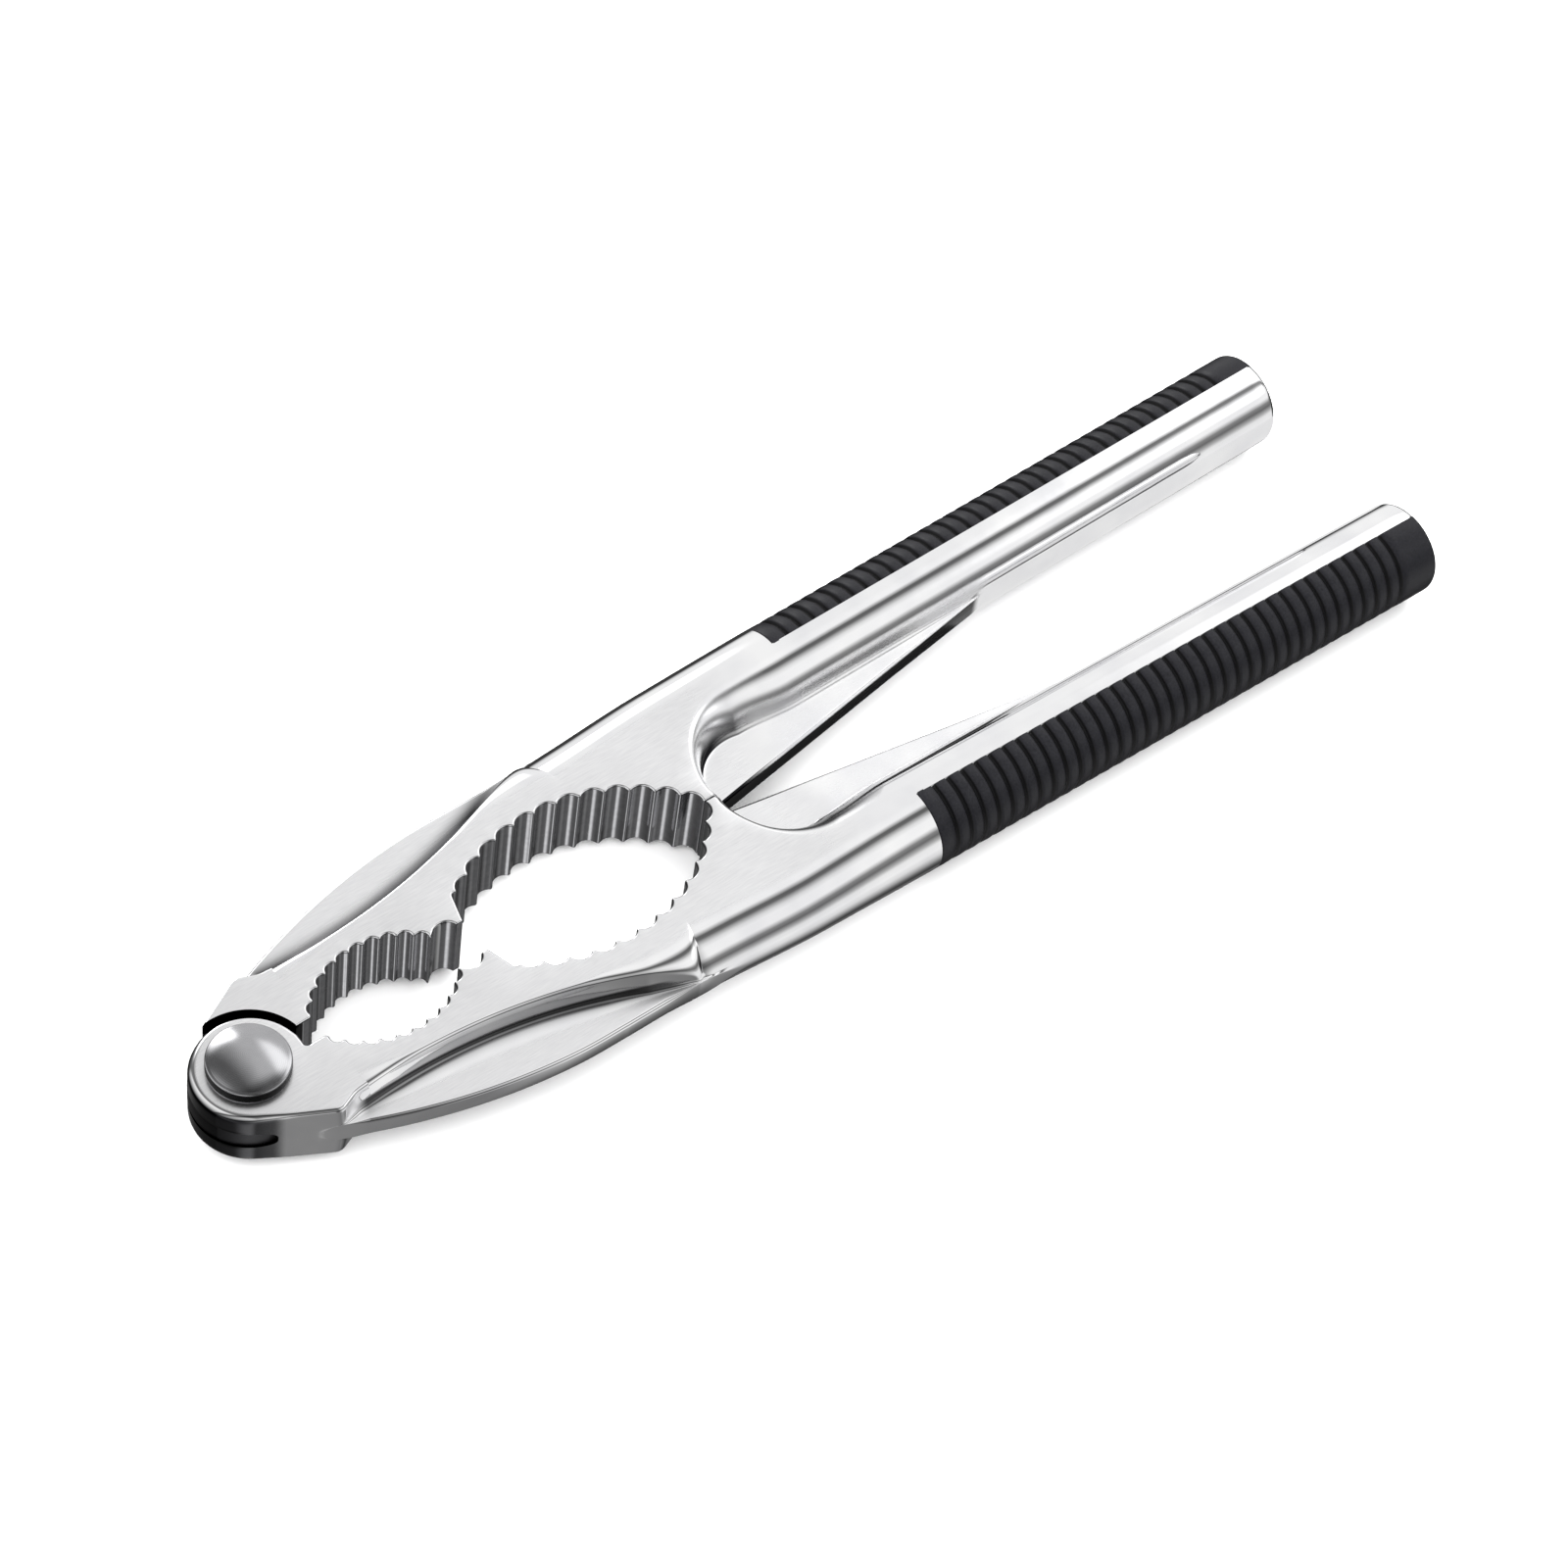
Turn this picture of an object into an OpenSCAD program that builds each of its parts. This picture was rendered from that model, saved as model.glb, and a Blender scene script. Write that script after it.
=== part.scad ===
// Two-lever nutcracker: a forked arm and a tongued arm that turn on one rivet, each with a
// toothed small nut cavity, a toothed large nut cavity, a tubular handle and a ribbed grip.
// Millimetres. The pivot axis is the Z axis, the handles run along +X, and z = 0 is the
// plane on which the closed tool lies.

/* [Handles] */
// Distance from the pivot axis to the handle ends
reach = 175; // [165:1:185]
// Diameter of a handle
handle_d = 13; // [12.6:0.1:13.4]
// Half the distance between the handle axes at the reference station
handle_half_gap = 15.53; // [15:0.05:16]
// Distance from the pivot at which that gap is measured
gap_station = 150; // [145:1:155]
// Angle of each handle to the tool's centre line when closed, in degrees
splay = 1.2; // [0.9:0.05:1.3]
// Radius of the rounded handle ends
end_round = 1.8; // [1:0.1:2.5]

/* [Jaws] */
// Thickness of the jaws round the pivot
head_t = 9.3; // [9:0.1:9.8]
// Angle at which each face of the jaws rises from there towards the handles, in degrees
face_rise = 0.86; // [0.5:0.02:0.9]
// Thickness of the outer flanges and of the inner webs
flange_t = 3; // [2.4:0.1:3.4]
// Angle between neighbouring teeth of the small cavity, in degrees
small_tooth_step = 10.18; // [9.8:0.01:10.4]
// Angle between neighbouring teeth of the large cavity, in degrees
large_tooth_step = 7.7; // [7.4:0.01:7.9]
// Gap left between the jaw tips when the tool is closed
closed_gap = 0.06; // [0.04:0.01:0.2]

/* [Pivot] */
// Radius of the rivet head
head_r = 5.2; // [5:0.02:5.4]
// Height of the straight wall of the rivet head
head_wall = 1.3; // [1:0.1:1.6]
// Height of the dome above that wall
head_dome = 1.25; // [0.8:0.05:1.6]
// Radius of the rivet shank
shank_r = 3; // [2.5:0.1:3.5]
// Radial running clearance of the shank in the tongue
shank_play = 0.05; // [0.02:0.01:0.1]
// Radius of the formed rivet tail
tail_r = 4.6; // [4:0.1:5]
// Height of the slot in the forked arm
slot_h = 3.6; // [3.2:0.1:3.8]
// Gap above and below the tongue in that slot
tongue_play = 0.12; // [0.08:0.01:0.2]

/* [Grips] */
// Where each grip starts, from the pivot axis
grip_start = 89.8; // [88:0.1:92]
// Thickness of the grip insert
grip_t = 1.6; // [1.2:0.1:2]
// Number of grooves round each grip
groove_n = 35; // [10:1:35]
// Distance between neighbouring grooves
groove_pitch = 2.238; // [2:0.002:2.25]
// Depth of a groove
groove_depth = 0.35; // [0.2:0.05:0.5]

/* [Hidden] */
$fn = 96;
eps = 0.01;
tall = 30;

handle_r = handle_d / 2;
mid_z = handle_r;
half_f = flange_t / 2;

// Head: nose and fork circles round the pivot, and the straight outer wall of the head
nose_r = 7.25;
nose_shift = 0.25;
tongue_r = 7.15;
recess_r = 7.9;
slot_r = 7.92;
head_wall_offset = 7.48;
head_wall_angle = 27.6;
rise_start = 8;

// Flange: the wall of the jaw plate above it and its outer edge are two large arcs
core_arc = [15, 91.3];
core_arc_r = 81.45;
leaf_arc = [41.3, -65.65];
leaf_arc_r = 84.9;
leaf_edge = 19.1;
leaf_start = 4.1;
leaf_end = 56;
leaf_inner = 8;

// Cavities: circle of the tooth tips, angle of the first groove, and the grooves' size
small_c = [19.4, -5.1];
small_r = 11.65;
small_first = 138.9;
small_n = 10;
small_groove = [0.95, 0.55];
large_c = [48.05, -12.9];
large_r = 23.36;
large_first = 122;
large_corner = 127.7;
large_n = 12;
large_groove = [1.64, 0.75];

// Waist between the cavities: a wide round notch, then a tip with a slanted wall
waist_tip = [32.6, 2.5];
waist_lean = 0.29;
waist_rise = 4;
notch_c = [29.94, 1.98];
notch_r = 1.78;

// Narrow gap that leads from the fork to the small cavity
inlet_half = 1.5;
inlet_end = 11;

// Throat, scoop and inner web
throat_x = 69.9;
throat_land = 1.9;
scoop_c = [79.8, 1];
scoop_r = 9.9;
plate_end = 80;
web_root = [69.6, 0.35];
web_tip_x = 122.5;
cone_start = 44;
cone_end = 64;

// Offset of a handle's axis from the centre line at the pivot and at the tool's end
axis_y0 = handle_half_gap - gap_station * tan(splay);
function axis_y(x) = axis_y0 + x * tan(splay);
handle_len = reach / cos(splay);
web_tip_y = axis_y(web_tip_x) - handle_r + 0.3;

// Half the thickness of the jaws at a distance from the pivot
function half_t(x) = head_t / 2 + max(0, x - rise_start) * tan(face_rise);
function tube_flat(x) = sqrt(handle_r * handle_r - half_t(x) * half_t(x));

// Places children along a handle's axis, whose +X then runs down the handle
module on_handle_axis() {
    translate([0, axis_y0, 0])
        rotate([0, 0, splay])
            children();
}

// The round handle: a cone out of the jaw plate, the tube and its rounded end
module handle_solid() {
    on_handle_axis() {
        translate([cone_start, 0, 0])
            rotate([0, 90, 0])
                cylinder(r1 = half_t(cone_start) - 0.2, r2 = handle_r, h = cone_end - cone_start);
        translate([cone_end, 0, 0])
            rotate([0, 90, 0])
                cylinder(r = handle_r, h = handle_len - cone_end - end_round);
        translate([handle_len - end_round - eps, 0, 0])
            rotate([0, 90, 0])
                rotate_extrude() {
                    square([handle_r - end_round, end_round + eps]);
                    intersection() {
                        translate([handle_r - end_round, eps])
                            circle(r = end_round);
                        square([handle_r, end_round + eps]);
                    }
                }
    }
}

// Row of round grooves between the tips of a cavity's teeth, each of [radius, depth]
module tooth_grooves(center, tip_r, first, step, count, groove) {
    for (i = [0 : count - 1]) {
        a = first - i * step;
        translate(center + (tip_r + groove[1] - groove[0]) * [cos(a), sin(a)])
            circle(r = groove[0]);
    }
}

// Half of the small cavity, from the narrow inlet to the round notch at the waist
module small_cavity() {
    translate(small_c)
        circle(r = small_r);
    tooth_grooves(small_c, small_r, small_first, small_tooth_step, small_n, small_groove);
    translate([0, -eps])
        square([inlet_end, inlet_half + eps]);
    translate([inlet_end - 1, -eps])
        square([waist_tip[0] - inlet_end + 1, waist_tip[1] + eps]);
    translate(notch_c)
        circle(r = notch_r);
}

// Half of the large cavity, cut off by the slanted wall of the waist tip
module large_cavity() {
    lean_top = waist_tip + waist_rise * [waist_lean, 1];
    far_x = throat_x - throat_land;
    intersection() {
        translate(large_c)
            circle(r = large_r);
        polygon([
            [waist_tip[0], -eps],
            waist_tip,
            lean_top,
            [lean_top[0], 20],
            [far_x, 20],
            [far_x, -eps]
        ]);
    }
    tooth_grooves(large_c, large_r, large_corner, 0, 1, large_groove);
    tooth_grooves(large_c, large_r, large_first, large_tooth_step, large_n, large_groove);
}

// Outline of the full-height jaw plate of the arm at +Y, before its cavities are cut
module plate_outline() {
    wall_dir = [cos(head_wall_angle), sin(head_wall_angle)];
    wall_foot = head_wall_offset * [-wall_dir[1], wall_dir[0]];
    difference() {
        polygon([
            [0, 0],
            wall_foot,
            wall_foot + 12 * wall_dir,
            [50, 25],
            [50, axis_y(50) + tube_flat(50)],
            [plate_end, axis_y(plate_end)],
            [plate_end, leaf_inner],
            [throat_x, closed_gap / 2],
            [0, closed_gap / 2]
        ]);
        translate(core_arc)
            circle(r = core_arc_r);
        translate(scoop_c)
            circle(r = scoop_r);
    }
}

// Side view of the jaws: level round the pivot, then slowly thicker towards the handle
module plate_side() {
    polygon([
        [-nose_r - 1, -head_t / 2],
        [rise_start, -head_t / 2],
        [plate_end, -half_t(plate_end)],
        [plate_end, half_t(plate_end)],
        [rise_start, head_t / 2],
        [-nose_r - 1, head_t / 2]
    ]);
}

// Thin flange outside the jaw plate: its edge is an arc, then runs straight to the handle
module leaf_outline() {
    intersection() {
        translate([leaf_start, leaf_inner])
            square([leaf_end - leaf_start, leaf_edge - leaf_inner]);
        union() {
            translate(leaf_arc)
                circle(r = leaf_arc_r);
            translate([leaf_arc[0], leaf_inner])
                square([leaf_end, leaf_edge]);
        }
    }
}

// Thin web inside the handle, from the throat to where it meets the tube
module web_outline() {
    polygon([
        web_root,
        [web_tip_x, web_tip_y],
        [web_tip_x, axis_y(web_tip_x)],
        [plate_end, axis_y(plate_end)],
        [throat_x - 1, 6],
        [throat_x - 1, web_root[1]]
    ]);
}

// Half-round layer on the outer side of the handle that the grip fills
module grip_space(r_outer) {
    intersection() {
        on_handle_axis()
            translate([grip_start, 0, 0])
                rotate([0, 90, 0])
                    difference() {
                        cylinder(r = r_outer, h = handle_len);
                        translate([0, 0, -1])
                            cylinder(r = handle_r - grip_t, h = handle_len + 2);
                    }
        on_handle_axis()
            translate([grip_start - 1, 0, -tall])
                cube([handle_len, tall, 2 * tall]);
    }
}

// Everything that both arms share, for the arm at +Y, with the middle plane at z = 0
module arm_body() {
    difference() {
        union() {
            intersection() {
                translate([0, 0, -tall / 2])
                    linear_extrude(tall)
                        plate_outline();
                rotate([90, 0, 0])
                    linear_extrude(2 * tall, center = true)
                        plate_side();
            }
            handle_solid();
            translate([0, 0, -half_f])
                linear_extrude(flange_t)
                    web_outline();
        }
        for (z = [half_f, -half_f - tall])
            translate([core_arc[0], core_arc[1], z])
                cylinder(r = core_arc_r, h = tall);
        translate([0, 0, -tall / 2])
            linear_extrude(tall) {
                small_cavity();
                large_cavity();
            }
        grip_space(handle_r + 1);
    }
    translate([0, 0, -half_f])
        linear_extrude(flange_t)
            leaf_outline();
}

// Forked arm: two ears round the rivet, with the slot for the tongue between them
module front_arm() {
    color([0.82, 0.82, 0.83])
        translate([0, 0, mid_z])
            difference() {
                union() {
                    mirror([0, 1, 0])
                        arm_body();
                    translate([0, -nose_shift, -head_t / 2])
                        cylinder(r = nose_r, h = head_t);
                }
                translate([0, 0, -slot_h / 2])
                    cylinder(r = slot_r, h = slot_h);
                translate([0, 0, -tall / 2])
                    cylinder(r = shank_r, h = tall);
            }
}

// Tongued arm: its ends above and below are cut back round the ears of the fork
module back_arm() {
    tongue_h = slot_h - 2 * tongue_play;
    color([0.82, 0.82, 0.83])
        translate([0, 0, mid_z])
            difference() {
                union() {
                    arm_body();
                    translate([0, 0, -tongue_h / 2])
                        cylinder(r = tongue_r, h = tongue_h);
                }
                for (z = [tongue_h / 2, -tongue_h / 2 - tall])
                    translate([0, 0, z])
                        cylinder(r = recess_r, h = tall);
                translate([0, 0, -tall / 2])
                    cylinder(r = shank_r + shank_play, h = tall);
            }
}

// Rivet: domed head on the upper ear, shank through both arms, flat formed tail below
module pivot_rivet() {
    ear_top = mid_z + head_t / 2;
    ear_bottom = mid_z - head_t / 2;
    dome_r = (head_r * head_r + head_dome * head_dome) / (2 * head_dome);
    color([0.72, 0.72, 0.74]) {
        cylinder(r1 = tail_r - 0.4, r2 = tail_r, h = 0.4);
        translate([0, 0, 0.4])
            cylinder(r = tail_r, h = ear_bottom - 0.4);
        translate([0, 0, ear_bottom])
            cylinder(r = shank_r, h = head_t);
        translate([0, 0, ear_top])
            cylinder(r = head_r, h = head_wall);
        translate([0, 0, ear_top + head_wall])
            intersection() {
                cylinder(r = head_r, h = head_dome);
                translate([0, 0, head_dome - dome_r])
                    sphere(r = dome_r);
            }
    }
}

// Ribbed half-round insert, flush with the handle, for the arm at +Y
module grip_solid() {
    difference() {
        intersection() {
            grip_space(handle_r);
            handle_solid();
        }
        on_handle_axis()
            for (i = [0 : groove_n - 1])
                translate([grip_start + 2.5 + i * groove_pitch, 0, 0])
                    rotate([0, 90, 0])
                        difference() {
                            cylinder(r = handle_r + 1, h = 0.4, center = true);
                            cylinder(r = handle_r - groove_depth, h = 1, center = true);
                        }
    }
}

module front_grip() {
    color([0.13, 0.13, 0.15])
        translate([0, 0, mid_z])
            mirror([0, 1, 0])
                grip_solid();
}

module back_grip() {
    color([0.13, 0.13, 0.15])
        translate([0, 0, mid_z])
            grip_solid();
}

front_arm();
back_arm();
pivot_rivet();
front_grip();
back_grip();
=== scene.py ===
# %% [markdown]
# # A two-lever nutcracker, finished in Blender
# A nutcracker of this kind is two die-cast zinc levers on one steel rivet. The castings are
# ground smooth and chrome plated, and a ribbed rubber strip is let into the outer half of each
# handle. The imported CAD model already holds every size, the joint and the places of the parts.
# This lesson reads that model as a fixed frame, and gives each part the rounded edges, blends
# and finishes that a real casting, a real rivet and a real moulding have. Sizes below are in
# millimetres, and become metres only when a shape goes into Blender.

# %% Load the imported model
import math
import bpy
import numpy as np
from mathutils import Matrix, Vector


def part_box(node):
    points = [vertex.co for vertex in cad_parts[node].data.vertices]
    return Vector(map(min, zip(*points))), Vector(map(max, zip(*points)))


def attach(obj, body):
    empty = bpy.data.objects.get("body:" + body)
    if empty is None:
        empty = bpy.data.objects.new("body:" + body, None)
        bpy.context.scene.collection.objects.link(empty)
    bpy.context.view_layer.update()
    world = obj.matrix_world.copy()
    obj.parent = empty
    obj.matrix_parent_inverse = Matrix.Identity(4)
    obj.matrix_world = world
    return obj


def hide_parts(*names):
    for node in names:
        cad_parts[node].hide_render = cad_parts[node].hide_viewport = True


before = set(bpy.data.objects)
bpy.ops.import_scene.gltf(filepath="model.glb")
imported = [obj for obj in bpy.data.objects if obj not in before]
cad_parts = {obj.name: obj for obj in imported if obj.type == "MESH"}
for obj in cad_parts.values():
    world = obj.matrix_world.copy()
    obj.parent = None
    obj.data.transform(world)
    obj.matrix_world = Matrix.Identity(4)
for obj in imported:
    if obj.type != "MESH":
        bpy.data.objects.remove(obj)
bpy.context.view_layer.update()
print("CAD nodes:", sorted(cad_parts))


# %% Measure the frame, in millimetres
def node_box(name):
    """Lowest and highest corner of a CAD node, as two arrays in millimetres."""
    low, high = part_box(name)
    return np.array(low) * 1000, np.array(high) * 1000


arm_high = node_box("back_arm")[1]
grip_low = node_box("back_grip")[0]
rivet_low, rivet_high = node_box("pivot_rivet")
HANDLE_R = arm_high[2] / 2
MID_Z = HANDLE_R
HEAD_R = (rivet_high[0] - rivet_low[0]) / 2
print("handle radius", round(HANDLE_R, 2), "rivet head radius", round(HEAD_R, 2))


# %% [markdown]
# ## Three tools for closed shapes
# A casting, a rivet and a moulding are all closed solids. A mesh of points and faces can hold
# any of them, so one function merges doubled points, turns the faces outwards and counts open
# edges. Round parts are a profile turned about the pivot axis, as on a lathe. A slot or a bore is
# cut with a boolean, as it would be machined, because that keeps the walls crisp.

# %% Put a shape into Blender
import bmesh


def make_mesh(name, points, faces, sharp=35):
    """Object at the origin from points in millimetres: doubles merged, faces turned outwards."""
    mesh = bpy.data.meshes.new(name)
    mesh.from_pydata((np.asarray(points) / 1000).tolist(), [], [list(map(int, f)) for f in faces])
    shape = bmesh.new()
    shape.from_mesh(mesh)
    bmesh.ops.remove_doubles(shape, verts=shape.verts, dist=1e-6)
    bmesh.ops.dissolve_degenerate(shape, edges=shape.edges, dist=1e-7)
    bmesh.ops.recalc_face_normals(shape, faces=shape.faces)
    shape.to_mesh(mesh)
    open_edges = sum(1 for e in shape.edges if len(e.link_faces) != 2)
    shape.free()
    piece = bpy.data.objects.new(name, mesh)
    bpy.context.scene.collection.objects.link(piece)
    finish_shading(piece, sharp)
    print(name, "vertices", len(mesh.vertices), "open edges", open_edges)
    return piece


def finish_shading(piece, sharp):
    """Smooth shading, kept sharp where faces meet at more than an angle in degrees."""
    piece.data.shade_smooth()
    piece.data.set_sharp_from_angle(angle=math.radians(sharp))


def revolve(name, profile, centre, turns=96, sharp=35):
    """Solid of revolution about a vertical axis: profile points (r, z), closed at the axis."""
    profile = np.asarray(profile, float)
    angle = np.linspace(0, 2 * math.pi, turns, endpoint=False)
    points = np.stack([centre[0] + profile[:, :1] * np.cos(angle),
                       centre[1] + profile[:, :1] * np.sin(angle),
                       np.repeat(profile[:, 1:], turns, 1)], -1)
    grid = np.arange(len(profile) * turns).reshape(-1, turns)
    after = np.roll(grid, -1, 1)
    quads = np.stack([grid[:-1], after[:-1], after[1:], grid[1:]], -1).reshape(-1, 4)
    return make_mesh(name, points.reshape(-1, 3), quads, sharp)


def cut(piece, tool, operation):
    """Cuts or joins one closed mesh with another, and removes the tool."""
    step = piece.modifiers.new("cut", "BOOLEAN")
    step.operation = operation
    step.solver = "MANIFOLD"
    step.object = tool
    graph = bpy.context.evaluated_depsgraph_get()
    made = bpy.data.meshes.new_from_object(piece.evaluated_get(graph))
    piece.modifiers.clear()
    piece.data = made
    bpy.data.objects.remove(tool)


# %% [markdown]
# ## Curves for the lever castings
# Seen from above, a lever has a toothed inner edge, a round head, a thin outer flange and a
# tube for a handle. Each edge of its level top face is rounded over before it drops as a wall.
# One description covers all of that: go once round the lever, and at each station say where the
# flat top ends, where the wall stands and where the thin flange ends. The surface is then one
# profile carried along that loop. Both levers share it, because they are mirror images except
# at the pivot and in how far their outer edges are rounded. All of this is worked out for the
# lever at +Y, in millimetres, with z = 0 at its middle plane.

# %% Small curve helpers
SPLAY = math.tan(math.radians(1.2))
AXIS_AT_150 = 15.53
FACE_Z = 4.58
FACE_RISE = 0.015


def ease(x, start, end):
    """Smooth step from 0 at start to 1 at end: 3t^2 - 2t^3."""
    t = np.clip((np.asarray(x, float) - start) / (end - start), 0, 1)
    return t * t * (3 - 2 * t)


def axis_y(x):
    """Distance of a handle's axis from the tool's centre line: a straight line in x."""
    return AXIS_AT_150 + (x - 150) * SPLAY


def face_z(x):
    """Height of the top face: a plane that rises slowly, then a cubic up to the tube's crest."""
    start, end = 66.0, 92.0
    t = np.clip((x - start) / (end - start), 0, 1)
    plane = FACE_Z + FACE_RISE * np.minimum(x, start)
    slope = FACE_RISE * (end - start)
    rise = HANDLE_R - FACE_Z - FACE_RISE * start
    return plane + slope * t * (1 - t) ** 2 + rise * t * t * (3 - 2 * t)


def soft_max(layers, soft):
    """Largest of several curves, with the corners between them rounded."""
    layers = np.asarray(layers)
    top = layers.max(0)
    return top + soft * np.log(np.exp((layers - top) / soft).sum(0))


def resample(points, count, closed_end=False):
    """count points at equal steps along a dense path, the last one left out unless asked for."""
    step = np.hypot(*np.diff(points, axis=0).T)
    length = np.r_[0, np.cumsum(step)]
    at = np.linspace(0, length[-1], count, endpoint=closed_end)
    return np.stack([np.interp(at, length, points[:, k]) for k in (0, 1)], 1)


def left_normal(path):
    """Unit vectors to the left of an open path, which is out of the metal."""
    run = np.gradient(path, axis=0)
    run /= np.hypot(*run.T)[:, None]
    return np.stack([-run[:, 1], run[:, 0]], 1)


def rounded_path(corners, radii, spacing):
    """Polyline with an arc in each inner corner, as points a spacing apart."""
    corners = np.array(corners, float)
    pieces = [corners[:1]]
    for before, corner, after, radius in zip(corners, corners[1:], corners[2:], radii):
        a = (before - corner) / np.hypot(*(before - corner))
        b = (after - corner) / np.hypot(*(after - corner))
        half = math.acos(np.clip(a @ b, -1, 1)) / 2
        centre = corner + (a + b) / np.hypot(*(a + b)) * radius / math.sin(half)
        start = corner + a * radius / math.tan(half) - centre
        end = corner + b * radius / math.tan(half) - centre
        turn = math.atan2(start[0] * end[1] - start[1] * end[0], start @ end)
        angle = math.atan2(start[1], start[0]) + np.linspace(0, turn, 24)
        pieces.append(centre + radius * np.stack([np.cos(angle), np.sin(angle)], 1))
    path = np.concatenate(pieces + [corners[-1:]])
    length = np.hypot(*np.diff(path, axis=0).T).sum()
    return resample(path, int(length / spacing), closed_end=True)


print("face height at the head", face_z(0.0), "and at the tube", round(float(face_z(100.0)), 2))


# %% [markdown]
# ## Toothed cavities
# A nut would slip on a smooth wall, so each cavity is a circle of shallow round flutes. Seen
# from the cavity's centre the wall is a function of the angle: the furthest point that any of
# the cutting circles reaches. Making every circle larger by the same amount gives the line
# where the top face ends, so the rounded rim never folds over itself at the sharp ridges.

# %% The wall of a cavity, seen from its centre
SMALL_C, SMALL_R, SMALL_FLUTE, SMALL_DEPTH = np.array([19.4, -5.1]), 11.65, 0.95, 0.55
SMALL_ANGLES = 138.9 - 10.18 * np.arange(10)
LARGE_C, LARGE_R, LARGE_FLUTE, LARGE_DEPTH = np.array([48.05, -12.9]), 23.36, 1.64, 0.75
LARGE_ANGLES = 122.0 - 7.7 * np.arange(12)
NOTCH_C, NOTCH_R = np.array([29.94, 1.98]), 1.78
CORNER_C, CORNER_R = np.array([34.2, 5.6]), 0.9
TIP, TIP_LEAN = np.array([32.6, 2.5]), 0.29
INLET_Y, LAND_Y, MEET_X = 1.5, 0.03, 32.1
RIM = 0.28
TOOTH_STEP, HEAD_STEP = 0.17, 0.16


def unit(degrees):
    """Unit vectors at angles in degrees."""
    angle = np.radians(degrees)
    return np.stack([np.cos(angle), np.sin(angle)], -1)


def far_side(rays, origin, centre, radius):
    """Distance from origin along each ray to the far side of a circle, or 0 where it misses."""
    along = rays @ (centre - origin)
    across = rays[:, 0] * (centre - origin)[1] - rays[:, 1] * (centre - origin)[0]
    inside = radius * radius - across * across
    return np.where(inside > 0, along + np.sqrt(np.maximum(inside, 0)), 0)


def flutes(rays, origin, tip_r, depth, flute_r, angles, grow):
    """Far sides of every flute, each circle enlarged by grow."""
    reach = tip_r + depth - flute_r
    return [far_side(rays, origin, origin + reach * unit(a), flute_r + grow) for a in angles]


def large_wall(degrees, grow):
    """Large cavity from the land at the throat, round the teeth, to the top of the waist tip."""
    rays = unit(degrees)
    layers = flutes(rays, LARGE_C, LARGE_R, LARGE_DEPTH, LARGE_FLUTE, LARGE_ANGLES, grow)
    layers.append(np.full(len(rays), LARGE_R + grow))
    layers.append(far_side(rays, LARGE_C, CORNER_C, CORNER_R + grow))
    teeth = soft_max(layers, 0.05)
    out = np.array([1, -TIP_LEAN]) / math.hypot(1, TIP_LEAN)
    facing = np.minimum(rays @ out, -0.05)
    lean = (-grow - (LARGE_C - TIP) @ out) / facing
    teeth = np.where(degrees > 100, -soft_max([-teeth, -lean], 0.08), teeth)
    floor = np.where(degrees < 90, LAND_Y, TIP[1]) + grow - LARGE_C[1]
    return LARGE_C + soft_max([teeth, floor / rays[:, 1]], 0.06)[:, None] * rays


def small_wall(degrees, grow):
    """Small cavity from the waist tip, round the notch and the teeth, to the inlet."""
    rays = unit(degrees)
    layers = flutes(rays, SMALL_C, SMALL_R, SMALL_DEPTH, SMALL_FLUTE, SMALL_ANGLES, grow)
    layers.append(np.full(len(rays), SMALL_R + grow))
    layers.append(far_side(rays, SMALL_C, NOTCH_C, NOTCH_R + grow))
    floor = np.where(degrees < 90, TIP[1], INLET_Y) + grow - SMALL_C[1]
    layers.append(floor / rays[:, 1])
    return SMALL_C + soft_max(layers, 0.05)[:, None] * rays


def toothed_line(grow, counts):
    """Both cavities as one line from the throat to the inlet, split at the flutes' middles."""
    def angle_to(origin, x, y):
        return math.degrees(math.atan2(y + grow - origin[1], x - origin[0]))
    large = np.r_[angle_to(LARGE_C, 68.6, LAND_Y), LARGE_ANGLES[::-1], 127.5,
                  angle_to(LARGE_C, *TIP), angle_to(LARGE_C, MEET_X, TIP[1])]
    small = np.r_[angle_to(SMALL_C, MEET_X, TIP[1]), 33.9, SMALL_ANGLES[::-1],
                  angle_to(SMALL_C, 8, INLET_Y)]
    spans = [(large_wall, *pair) for pair in zip(large, large[1:])]
    spans += [(small_wall, *pair) for pair in zip(small, small[1:])]
    dense = [wall(np.linspace(start, end, 160), grow) for wall, start, end in spans]
    if counts is None:
        counts = [int(np.hypot(*np.diff(d, axis=0).T).sum() / TOOTH_STEP) + 3 for d in dense]
    return np.concatenate([resample(d, n) for d, n in zip(dense, counts)]), counts


tooth_wall, tooth_counts = toothed_line(0, None)
print("stations on the toothed walls:", len(tooth_wall))


# %% [markdown]
# ## The loop round a lever
# The rest of the loop is made of smooth stretches: the tube's inner side with its thin web, the
# scoop that frees a fingertip behind the throat, the head, and the long outer wall whose flange
# runs into the tube. Each stretch gives, per station, the wall line, the flat's edge and the
# flange's edge, the height over which the edge rolls down, and how much of a flange there is.

# %% One stretch of the loop
def stretch(wall, flat, edge=None, roll=0.5, flange=0.0, foot=0.4, sink=0.0, dish=0.0):
    """Bundles a stretch: 2-D lines as (n, 2) arrays, and numbers that are kept per station."""
    count = len(wall)
    edge = wall if edge is None else edge
    numbers = dict(roll=roll, flange=flange, foot=foot, sink=sink, dish=dish)
    full = {key: np.broadcast_to(np.asarray(v, float), (count,)) for key, v in numbers.items()}
    return dict(wall=wall, flat=flat, edge=edge, **full)


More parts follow.
